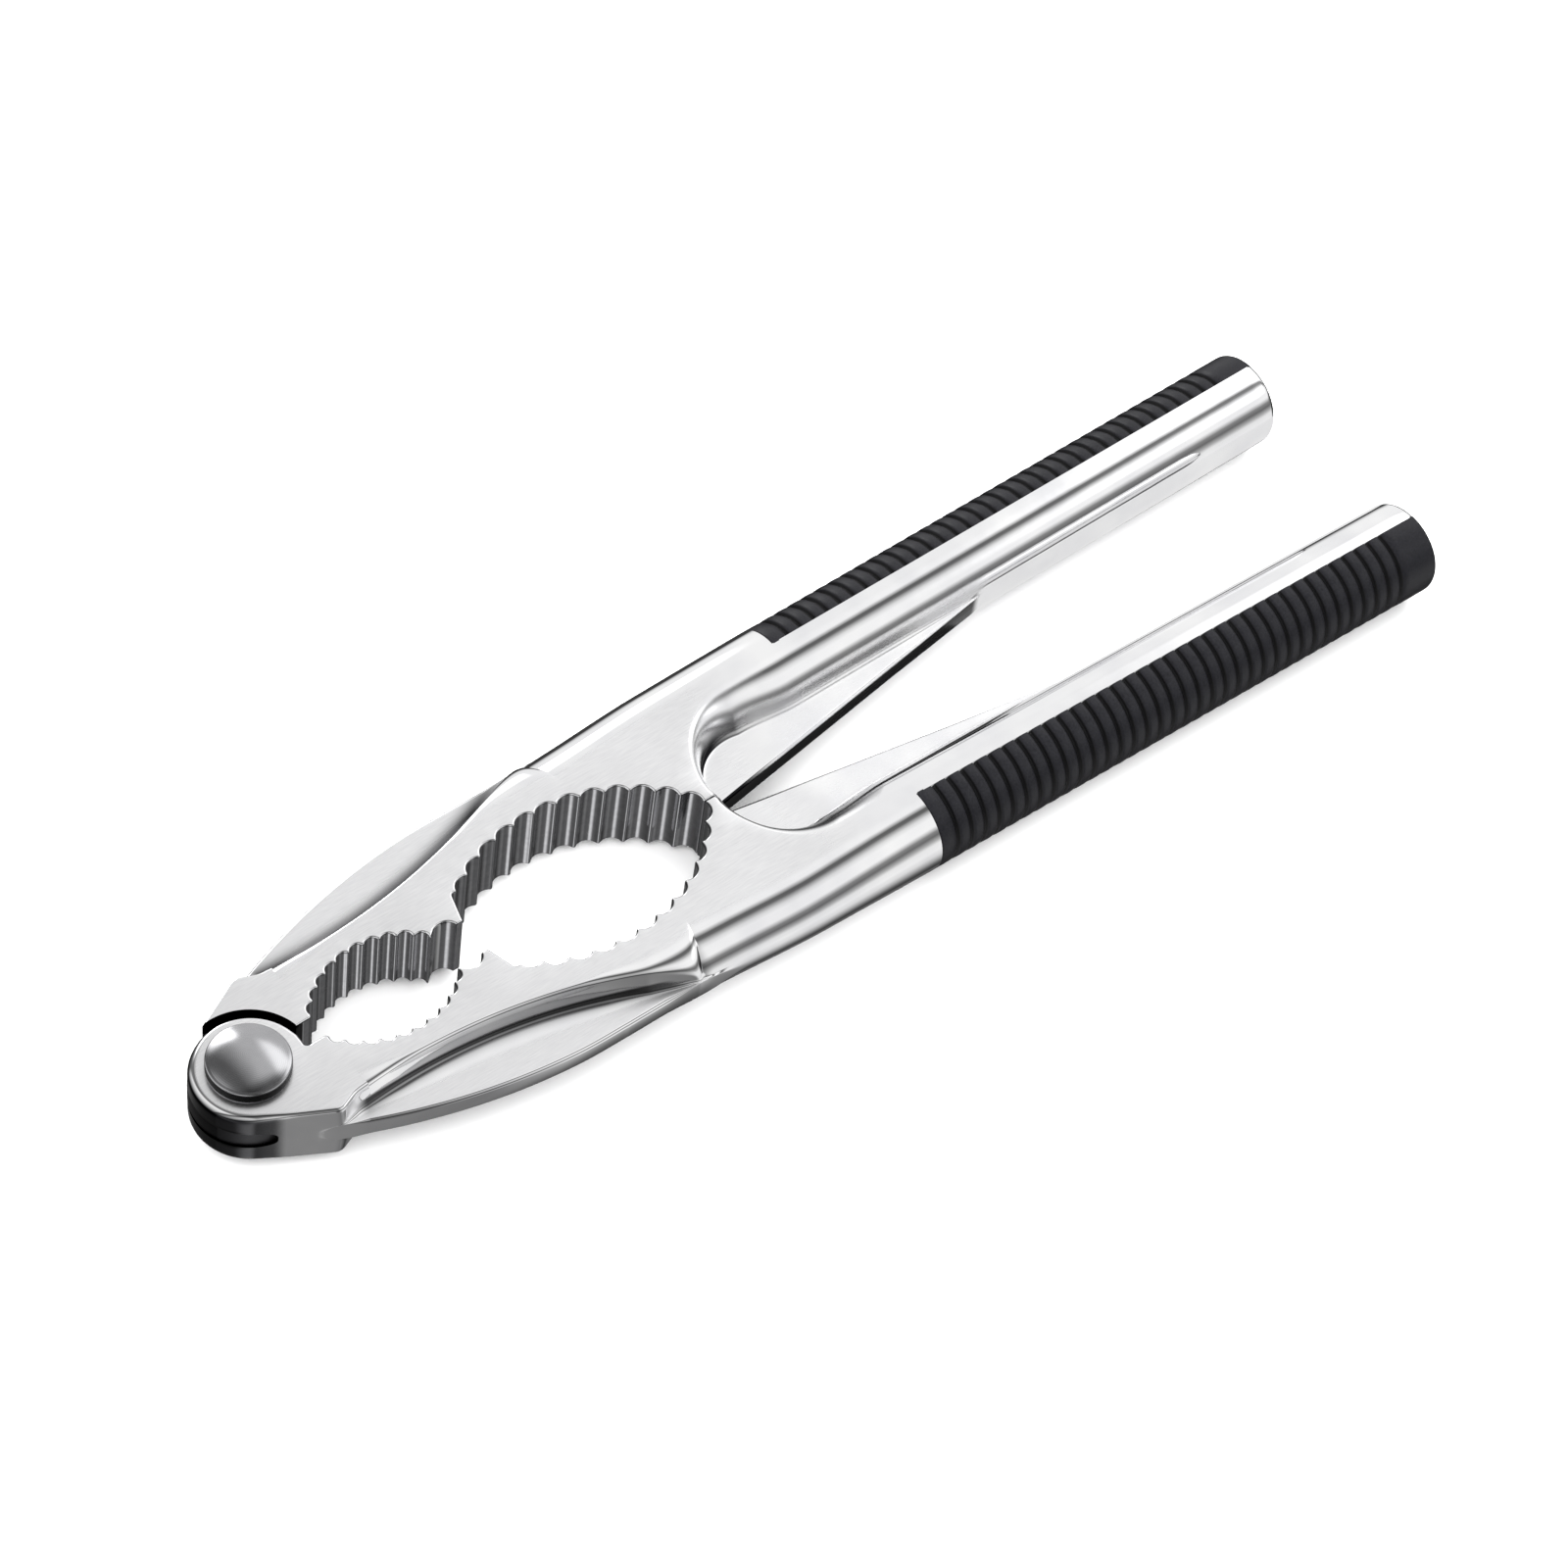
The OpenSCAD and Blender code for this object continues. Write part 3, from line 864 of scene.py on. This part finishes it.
def new_material(name):
    """Node material: its shader, object coordinates in metres, and x, |y| and z in mm."""
    made = bpy.data.materials.new(name)
    made.use_nodes = True
    tree = made.node_tree
    shader = next(n for n in tree.nodes if n.type == "BSDF_PRINCIPLED")
    place = node(tree, "TexCoord").outputs["Object"]
    part = node(tree, "SeparateXYZ", {"Vector": place})
    x, y, z = (calc(tree, "MULTIPLY", part.outputs[k], MM) for k in "XYZ")
    return made, tree, shader, place, x, calc(tree, "ABSOLUTE", y), z


def reach(tree, x, y, centre):
    """Distance in mm, seen from above, from a centre."""
    dx, dy = calc(tree, "SUBTRACT", x, centre[0]), calc(tree, "SUBTRACT", y, centre[1])
    return calc(tree, "SQRT", calc(tree, "ADD", calc(tree, "MULTIPLY", dx, dx),
                                   calc(tree, "MULTIPLY", dy, dy)))


def raise_bumps(tree, shader, layers):
    """Chain of bump nodes; each layer is (height socket, height in millimetres)."""
    normal = None
    for height, size in layers:
        inputs = {"Height": height, "Distance": size / MM, "Strength": 1.0}
        if normal is not None:
            inputs["Normal"] = normal
        normal = node(tree, "Bump", inputs).outputs["Normal"]
    tree.links.new(normal, shader.inputs["Normal"])


def all_of(tree, *shares):
    """Product of several masks, which is 1 only where every one of them is 1."""
    made = shares[0]
    for share in shares[1:]:
        made = calc(tree, "MULTIPLY", made, share)
    return made


print("middle grey, sRGB #808080, is linear", round(linear("#808080")[0], 3))


# %% [markdown]
# ## Chrome plate on a zinc casting
# The levers are taken to be die-cast zinc with nickel and chrome. Tubes and rolled edges are
# buffed to a mirror, while the level faces are ground on a belt and keep a fine satin grain.
# A buffing wheel can't reach into the teeth, the slot or the foot of the flange, so the plate
# there is duller. There, and in the scoop's hollow, on the web's edge, the tongue and the head's
# side, it is painted darker as painted shade. Masks made from the casting's own circles say where
# that is. The rims and the scoop of the front lever are painted darker than those of the back one,
# as painted shade. That is a choice for this scene's main view: a real pair of castings would be
# finished alike.

# %% Where on a lever a point is
# Where zones begin and end: distances in mm from the centre of a circle that shaped the metal.
SMALL_ZONE, LARGE_ZONE, SCOOP_ZONE = (12.6, 12.4), (24.45, 24.25), (12.6, 12.2)
TONGUE_ZONE, NOSE_ZONE, INLET_ZONE = (7.4, 7.3), (8.3, 7.7), (8.9, 8.7)
# How level a face is: 1 where it is level, 0 where it stands upright.
LEVEL, UPRIGHT, ROUNDED = (0.985, 0.998), (0.6, 0.3), (0.97, 0.85)


def lever_place(tree, x, y, z):
    """Measures that the masks share: how level the face is, height from the middle plane and
    distance from the pivot, next to x, |y| and the height itself."""
    facing = node(tree, "NewGeometry").outputs["Normal"]
    up = node(tree, "SeparateXYZ", {"Vector": facing}).outputs["Z"]
    return dict(x=x, y=y, z=z, up=calc(tree, "ABSOLUTE", up), pivot=reach(tree, x, y, (0, 0)),
                half=calc(tree, "ABSOLUTE", calc(tree, "SUBTRACT", z, MID_Z)))


# %% Masks of the head and the joint
def joint_masks(tree, at, bands, joint_r):
    """The gap inside the joint, the inlet to the small cavity, the tongue and the nose."""
    upright = fade(tree, at["up"], *UPRIGHT)
    gap = all_of(tree, fade(tree, at["pivot"], joint_r + 0.04, joint_r),
                 fade(tree, at["half"], bands[0] - 0.02, bands[0]),
                 fade(tree, at["half"], bands[1], bands[1] - 0.05))
    inlet = all_of(tree, fade(tree, at["pivot"], *INLET_ZONE), upright,
                   fade(tree, at["y"], 3.2, 3.0))
    return dict(
        upright=upright,
        joint=calc(tree, "MAXIMUM", gap, inlet),
        tongue=all_of(tree, fade(tree, at["pivot"], *TONGUE_ZONE),
                      fade(tree, at["half"], 1.7, 1.6)),
        nose=all_of(tree, fade(tree, at["pivot"], *NOSE_ZONE), upright),
        nose_left=all_of(tree, fade(tree, at["pivot"], 5.6, 6.6), fade(tree, at["up"], 0.97, 0.5),
                         fade(tree, at["x"], -1.0, -5.0)))


# %% Masks of the jaw
def jaw_masks(tree, at, corner_reach):
    """Level ground face, toothed walls, their rim, and the corner at the foot of the flange."""
    cavity = calc(tree, "MAXIMUM",
                  fade(tree, reach(tree, at["x"], at["y"], SMALL_C), *SMALL_ZONE),
                  fade(tree, reach(tree, at["x"], at["y"], LARGE_C), *LARGE_ZONE))
    foot = calc(tree, "SUBTRACT", CORE_R, reach(tree, at["x"], at["y"], CORE_C))
    corner = calc(tree, "POWER", fade(tree, foot, *corner_reach), 2.2)
    return dict(
        level=all_of(tree, fade(tree, at["up"], *LEVEL), fade(tree, at["x"], 84, 74)),
        rim=all_of(tree, cavity, fade(tree, at["up"], *ROUNDED)),
        teeth=all_of(tree, cavity, fade(tree, at["up"], *UPRIGHT)),
        corner=all_of(tree, corner, fade(tree, foot, 0.15, 0.35), fade(tree, at["half"], 3.0, 2.6),
                      fade(tree, at["x"], 56, 44), fade(tree, at["x"], 7.8, 9.5)))


# %% Masks of the handle
def handle_masks(tree, at, upright, roll_painted_dark):
    """The scoop and its hollow, the nook between tube and web, and the web's free edge."""
    from_scoop = reach(tree, at["x"], at["y"], SCOOP_C)
    in_scoop = all_of(tree, fade(tree, from_scoop, *SCOOP_ZONE),
                      fade(tree, at["up"], 0.98, 0.94), fade(tree, at["x"], 92, 78))
    hollow = all_of(tree, in_scoop, fade(tree, at["half"], 5.0, 2.2), fade(tree, at["x"], 84, 75))
    # On the front lever the scoop's roll joins the hollow, painted dark as painted shade.
    if roll_painted_dark:
        roll = all_of(tree, in_scoop, fade(tree, at["up"], 0.97, 0.84))
        hollow = calc(tree, "MAXIMUM", hollow, roll)
    axis = calc(tree, "MULTIPLY_ADD", at["x"], SPLAY, AXIS_AT_150 - 150 * SPLAY)
    nook = all_of(tree, fade(tree, calc(tree, "SUBTRACT", axis, at["y"]), 3.0, 4.0),
                  fade(tree, at["half"], 4.2, 3.2), fade(tree, at["x"], 80, 84),
                  fade(tree, at["x"], 123, 119))
    web = calc(tree, "MULTIPLY_ADD", at["x"], WEB_SLOPE, 0.3 + WEB_Y0 - WEB_SLOPE * WEB_X0)
    web_edge = all_of(tree, fade(tree, calc(tree, "SUBTRACT", at["y"], web), 0.1, 0.0), upright,
                      fade(tree, at["x"], 70.5, 71.5), fade(tree, at["x"], 120.5, 119.0))
    return dict(in_scoop=in_scoop, hollow=hollow, nook=nook, web_edge=web_edge)


# %% Chrome plate
# A grinding belt leaves lines about 0.03 mm apart; they are drawn at 0.16 mm so that they show.
BELT_GRAIN, SCUFF_GRAIN = 0.16, 0.25


def plate_tone_and_shade(tree, place, grain, mask, painted_rim_tone):
    """Base colour: plate, ground faces, and each zone of painted shade laid over the ones before
    it.
    """
    plate = ramp(tree, noise(tree, place, 7.0), [(0.3, "#E9E9EB"), (0.7, "#F6F6F6")])
    tone = blend(tree, mask["level"], plate, blend(tree, grain, "#DADADC", "#F6F6F6"))
    # The toothed walls are painted darker than the plate: painted shade in the cavities.
    teeth = blend(tree, noise(tree, place, 0.9), "#98989B", "#B4B4B6")
    # Near black: painted shadow in the gaps of the joint and on the inlet's wall.
    shadowed = blend(tree, noise(tree, place, 0.8), "#08080A", "#161618")
    # Painted shade: the corner at the foot of the flange, the scoop's hollow, the web's free edge,
    # the tongue inside the fork, and the head's side, darkest on its left.
    for zone, laid in (("corner", "#2C2C2E"), ("hollow", "#1E1E20"), ("web_edge", "#101012"),
                       ("tongue", "#9A9A9C"), ("nose", "#6E6E70"), ("nose_left", "#303032"),
                       ("rim", painted_rim_tone), ("teeth", teeth), ("joint", shadowed)):
        tone = blend(tree, mask[zone], tone, laid)
    return tone


def chrome_plate(name, joint_bands, joint_r, corner_reach, painted_rim_tone, roll_painted_dark):
    """Plated zinc. joint_bands: heights from the middle plane that the joint hides, within
    joint_r, painted near black as painted shadow. corner_reach: where the duller corner of the
    flange, painted darker as painted shade, begins and ends. painted_rim_tone: tone painted on the
    rolled rim of the teeth, near black as painted shade on the front lever. roll_painted_dark:
    whether the scoop's roll is painted dark too, as painted shade."""
    made, tree, shader, place, x, y, z = new_material(name)
    at = lever_place(tree, x, y, z)
    mask = joint_masks(tree, at, joint_bands, joint_r)
    mask.update(jaw_masks(tree, at, corner_reach))
    mask.update(handle_masks(tree, at, mask["upright"], roll_painted_dark))
    grain = noise(tree, place, BELT_GRAIN, 3.0, (14, 1, 1))
    tone = plate_tone_and_shade(tree, place, grain, mask, painted_rim_tone)
    tree.links.new(tone, shader.inputs["Base Color"])
    shader.inputs["Metallic"].default_value = 1.0
    scuffs = fade(tree, noise(tree, place, SCUFF_GRAIN, 4.0, (9, 1, 1)), 0.55, 0.8)
    smooth = calc(tree, "MULTIPLY_ADD", scuffs, 0.05, 0.05)
    satin = calc(tree, "MULTIPLY_ADD", grain, 0.1, 0.2)
    rough = calc(tree, "ADD", smooth, calc(tree, "MULTIPLY", mask["level"], satin))
    for zone, extra in (("teeth", 0.1), ("in_scoop", 0.18), ("corner", 0.15), ("tongue", 0.25),
                        ("nook", 0.22), ("nose", 0.12)):
        rough = calc(tree, "MULTIPLY_ADD", mask[zone], extra, rough)
    tree.links.new(rough, shader.inputs["Roughness"])
    raise_bumps(tree, shader, [(noise(tree, place, 5.0), 0.012),
                               (calc(tree, "MULTIPLY", grain, mask["level"]), 0.0016)])
    print(name, "nodes:", len(tree.nodes))
    return made


# %% [markdown]
# ## Spun steel rivet
# The rivet is plain bright steel. Its dome was closed by a spinning forming tool, which leaves
# very fine rings round the axis and a tone darker than chrome. Its upright side was never polished
# and is rougher; it is painted near black as painted shade.

# %% Rivet steel
def spun_steel():
    """Steel with rings of a forming tool on its dome, and its side painted near black as painted
    shade.
    """
    made, tree, shader, place, x, y, z = new_material("spun_steel")
    radius = reach(tree, x, y, (0, 0))
    # side: the head's upright side, painted near black as painted shade.
    side = calc(tree, "MULTIPLY", fade(tree, radius, 5.06, 5.11), fade(tree, z, 12.7, 12.35))
    # Real rings are near 0.05 mm apart; a wave of 0.22 mm, 28 radians to the mm, still shows.
    wave = calc(tree, "SINE", calc(tree, "MULTIPLY", radius, 28.0))
    rings = calc(tree, "MULTIPLY_ADD", wave, 0.5, 0.5)
    cloud = noise(tree, place, 2.2, 3.0)
    tone = blend(tree, cloud, "#A4A4A6", "#B6B6B8")
    tone = blend(tree, calc(tree, "MULTIPLY", rings, 0.25), tone, "#8C8C8E")
    tone = blend(tree, side, tone, blend(tree, cloud, "#060607", "#141416"))
    tree.links.new(tone, shader.inputs["Base Color"])
    shader.inputs["Metallic"].default_value = 1.0
    rough = calc(tree, "MULTIPLY_ADD", cloud, 0.08, 0.13)
    tree.links.new(calc(tree, "MULTIPLY_ADD", side, 0.3, rough), shader.inputs["Roughness"])
    raise_bumps(tree, shader, [(cloud, 0.004), (rings, 0.0004)])
    print("spun_steel nodes:", len(tree.nodes))
    return made


# %% [markdown]
# ## Moulded rubber
# The strips are taken to be black rubber from a spark-eroded mould, so they carry a fine matt
# texture. The crowns of the ribs are painted a little grey, partly wear from hands and partly a
# painted highlight, while the grooves keep the rubber's deep black. The distance from the handle's
# axis tells crowns and grooves apart.

# %% Grip rubber
def moulded_rubber():
    """Black rubber, matt in the grooves, with the crowns painted a little grey as wear and painted
    highlight.
    """
    made, tree, shader, place, x, y, z = new_material("moulded_rubber")
    axis = calc(tree, "MULTIPLY_ADD", x, SPLAY, AXIS_AT_150 - 150 * SPLAY)
    dy, dz = calc(tree, "SUBTRACT", y, axis), calc(tree, "SUBTRACT", z, MID_Z)
    radius = calc(tree, "SQRT", calc(tree, "ADD", calc(tree, "MULTIPLY", dy, dy),
                                     calc(tree, "MULTIPLY", dz, dz)))
    crown = fade(tree, radius, HANDLE_R - 0.25, HANDLE_R - 0.02)
    cloud = noise(tree, place, 3.5, 3.0)
    # Real spark texture is near 0.05 mm; it is drawn at 0.3 mm so that it still shows.
    pits = noise(tree, place, 0.3, 3.0)
    tone = blend(tree, cloud, "#050507", "#0B0B0E")
    # Crowns painted a little grey with the pits: partly wear, partly painted highlight; elsewhere
    # the rubber's own black.
    tone = blend(tree, calc(tree, "MULTIPLY", crown, pits), tone, "#1C1C20")
    tone = blend(tree, crown, "#060607", tone)
    tree.links.new(tone, shader.inputs["Base Color"])
    rough = calc(tree, "MULTIPLY_ADD", pits, 0.2, 0.36)
    tree.links.new(calc(tree, "MULTIPLY_ADD", crown, -0.06, rough), shader.inputs["Roughness"])
    shader.inputs["Specular IOR Level"].default_value = 0.22
    raise_bumps(tree, shader, [(cloud, 0.02), (pits, 0.012)])
    print("moulded_rubber nodes:", len(tree.nodes))
    return made


# %% [markdown]
# ## Give the pieces their finish and their place in the motion
# Each new piece rides on the body its CAD part belongs to, stands in for that part, and takes its
# finish. The two levers hide different heights inside the joint: the front one its slot, the back
# one the recesses above and below its tongue.

# %% Dress the pieces
# The front lever's rims and scoop roll are painted dark, as painted shade; the back lever's rims
# keep a tone near the plate's.
chrome_front = chrome_plate("chrome_plate_front", (-0.1, SLOT_H / 2 + 0.02), HEAD_WALL - 0.06,
                            (3.4, 0.2), "#2C2C2E", True)
chrome_back = chrome_plate("chrome_plate_back", (TONGUE_H / 2 - 0.1, MID_Z), RECESS_R + 0.02,
                           (4.6, 1.3), "#E6E6E8", False)
rivet_finish, grip_finish = spun_steel(), moulded_rubber()
for piece, finish, body, slot, cad in (
        (front, chrome_front, "fork_lever", "plated_zinc", "front_arm"),
        (back, chrome_back, "tongue_lever", "plated_zinc", "back_arm"),
        (pin, rivet_finish, "fork_lever", "rivet_steel", "pivot_rivet"),
        (front_strip, grip_finish, "fork_lever", "grip_rubber", "front_grip"),
        (back_strip, grip_finish, "tongue_lever", "grip_rubber", "back_grip")):
    piece.data.materials.clear()
    piece.data.materials.append(finish)
    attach(piece, body)
    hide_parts(cad)
    print(piece.name, "stands in for", cad, "in", finish.name)

# %% [markdown]
# ## A light tent
# Bright metal shows nothing but its surroundings, so a studio hangs long white and grey cards
# round it. Here they are painted on the world: strips that run parallel to the handles, given as
# brightness by the angle round the X axis, with a darker band across them a little towards -X, and
# the tones of a table below. Two patches are brighter than white, as lamps are. The tones were set
# until the bands on the tubes looked right.

# %% Tones of the tent
# STRIPS: degrees round X from +Y towards +Z. ALONG: share of the direction along X. BELOW:
# degrees round Z from +X. Brightness is stored at 1 / WHITE of its value, so that a strip can be
# brighter than white.
WHITE = 1.6
STRIPS = [(0, "#CCCCCC"), (28, "#CECECE"), (38, "#CCCCCC"), (77, "#CCCCCC"), (86, "#D0D0D0"),
          (94, "#D0D0D0"), (104, "#505050"), (110, "#565656"), (122, "#BEBEBE"), (130, "#D0D0D0"),
          (150, "#D0D0D0"), (162, "#707070"), (171, "#585858"), (181, "#909090"), (190, "#C4C4C4"),
          (204, "#CBCBCB"), (220, "#BABABA"), (234, "#8A8A8A"), (244, "#5A5A5A"), (254, "#343434"),
          (262, "#3A3A3A"), (270, "#545454"), (280, "#545454"), (290, "#343434"), (341, "#303030"),
          (350, "#B4B4B4"), (357, "#CBCBCB")]
ALONG = [(-1.0, "#FFFFFF"), (-0.46, "#FFFFFF"), (-0.34, "#808080"), (-0.12, "#707070"),
         (0.1, "#C8C8C8"), (0.28, "#FAFAFA"), (0.42, "#FFFFFF"), (1.0, "#FFFFFF")]
BELOW = [(0, "#707070"), (36, "#6A6A6A"), (137, "#484848"), (180, "#585858"), (209, "#707070"),
         (226, "#F8F8F8"), (238, "#F0F0F0"), (247, "#6C6C6C"), (281, "#606060"), (310, "#808080")]
print("tones of the tent:", len(STRIPS), "strips,", len(ALONG), "along,", len(BELOW), "below")

# %% World
def studio_world():
    """Brightness by angle about X, times a factor for the direction's share along X, with other
    tones for directions that point steeply down or low along +X, and two lamps added."""
    world = bpy.data.worlds.new("light_tent")
    bpy.context.scene.world = world
    world.use_nodes = True
    tree = world.node_tree
    tree.nodes.clear()
    part = node(tree, "SeparateXYZ", {"Vector": node(tree, "TexCoord").outputs["Generated"]})
    x, y, z = (part.outputs[k] for k in "XYZ")

    def turns(up, along):
        """Angle of a direction as a share of a whole turn, from 0 to 1."""
        share = calc(tree, "MULTIPLY", calc(tree, "ARCTAN2", up, along), 1 / (2 * math.pi))
        return calc(tree, "WRAP", share, 1.0, 0.0)

    around = turns(z, y)
    strips = ramp(tree, around, [(a / 360, c) for a, c in STRIPS])
    share = calc(tree, "MULTIPLY_ADD", x, 0.5, 0.5)
    along = ramp(tree, share, [((v + 1) / 2, c) for v, c in ALONG])
    lit = node(tree, "Mix", {"Factor": 1.0, 6: strips, 7: along}, data_type="RGBA",
               blend_type="MULTIPLY").outputs[2]
    low_end = all_of(tree, fade(tree, x, 0.68, 0.85), fade(tree, z, 0.2, -0.15))
    lit = blend(tree, low_end, lit, "#1C1C1C")
    below = ramp(tree, turns(y, x), [(a / 360, c) for a, c in BELOW])
    under = all_of(tree, fade(tree, x, 0.3, 0.05), fade(tree, z, -0.35, -0.6))
    lit = blend(tree, under, lit, below)
    lamp = all_of(tree, fade(tree, around, 8 / 360, 16 / 360),
                  fade(tree, around, 36 / 360, 24 / 360),
                  fade(tree, x, 0.42, 0.28), fade(tree, x, -0.25, 0.0))
    second = all_of(tree, fade(tree, x, 0.5, 0.64), fade(tree, z, 0.5, 0.62))
    power = calc(tree, "MULTIPLY_ADD", lamp, 9.0, WHITE)
    power = calc(tree, "MULTIPLY_ADD", second, 2.0, power)
    glow = node(tree, "Background", {"Color": lit, "Strength": power})
    node(tree, "OutputWorld", {"Surface": glow.outputs[0]})


studio_world()


# %% [markdown]
# ## Floor, lamp and camera
# The tool lies on a pale sheet under one large soft lamp. Neither of them shows in the metal,
# which sees the painted tent instead. A small card between the handle ends does the opposite:
# only reflections see it, so that the handles' inner sides have something white to mirror. The
# camera is given by the point it looks at, two angles, a distance and a roll, so each can be
# changed by itself.

# %% Floor and card
def sheet(name, low, high, hidden_from=()):
    """Level rectangle on the resting plane from two corners in metres, not part of the tool."""
    mesh = bpy.data.meshes.new(name)
    corners = [(low[0], low[1], 0), (high[0], low[1], 0), (high[0], high[1], 0),
               (low[0], high[1], 0)]
    mesh.from_pydata(corners, [], [(0, 1, 2, 3)])
    made = bpy.data.objects.new(name, mesh)
    bpy.context.scene.collection.objects.link(made)
    for ray in hidden_from:
        setattr(made, "visible_" + ray, False)
    return made


def floor():
    """Pale paper, hidden from reflections."""
    paper = sheet("floor", (-3.0, -3.0), (3.0, 3.0), ("glossy",))
    made, tree, shader, place, x, y, z = new_material("white_paper")
    tone = blend(tree, noise(tree, place, 40.0), "#F4F4F4", "#F8F8F8")
    tree.links.new(tone, shader.inputs["Base Color"])
    shader.inputs["Roughness"].default_value = 0.9
    paper.data.materials.append(made)


def white_card():
    """Glowing card between the handle ends that only reflections see."""
    card = sheet("white_card", (0.12, -0.009), (0.19, 0.011), ("camera", "diffuse", "shadow"))
    made, tree, shader, place, x, y, z = new_material("white_card")
    tree.links.new(blend(tree, noise(tree, place, 30.0), "#E4E4E4", "#F0F0F0"),
                   shader.inputs["Emission Color"])
    shader.inputs["Emission Strength"].default_value = 1.0
    shader.inputs["Base Color"].default_value = linear("#000000")
    card.data.materials.append(made)


floor()
white_card()


# %% Lamp and camera
AZIMUTH, ELEVATION, ROLL = -46.54, 52.157, 9.9
TARGET, DISTANCE = (0.0805, -0.0005, MID_Z / 1000), 0.52936
LENS, SENSOR = 96.69, 36
LAMP_PLACE, LAMP_SIZE, LAMP_POWER = (0.1, 0, 1.2), 3.0, 90


def softbox(name, place, size, power):
    """Large square lamp overhead, aimed straight down."""
    data = bpy.data.lights.new(name, "AREA")
    data.size = size
    data.energy = power
    lamp = bpy.data.objects.new(name, data)
    lamp.location = place
    lamp.visible_glossy = False
    bpy.context.scene.collection.objects.link(lamp)


def camera():
    """Camera from a target, an azimuth, an elevation, a distance and a roll."""
    azimuth, elevation, roll = (math.radians(a) for a in (AZIMUTH, ELEVATION, ROLL))
    towards = Vector((math.sin(azimuth) * math.cos(elevation),
                      -math.cos(azimuth) * math.cos(elevation), math.sin(elevation)))
    right = Vector((0, 0, 1)).cross(towards).normalized()
    frame_axes = Matrix((right, towards.cross(right), towards)).transposed()
    data = bpy.data.cameras.new("camera")
    data.sensor_width = SENSOR
    data.lens = LENS
    data.clip_end = 20
    eye = bpy.data.objects.new("camera", data)
    turn = (frame_axes @ Matrix.Rotation(roll, 3, "Z")).to_4x4()
    eye.matrix_world = Matrix.Translation(Vector(TARGET) + towards * DISTANCE) @ turn
    bpy.context.scene.collection.objects.link(eye)
    bpy.context.scene.camera = eye
    print("camera", DISTANCE, "m from its target, with a lens of", LENS, "mm")


softbox("overhead", LAMP_PLACE, LAMP_SIZE, LAMP_POWER)
camera()
bpy.context.scene.view_settings.view_transform = "Standard"
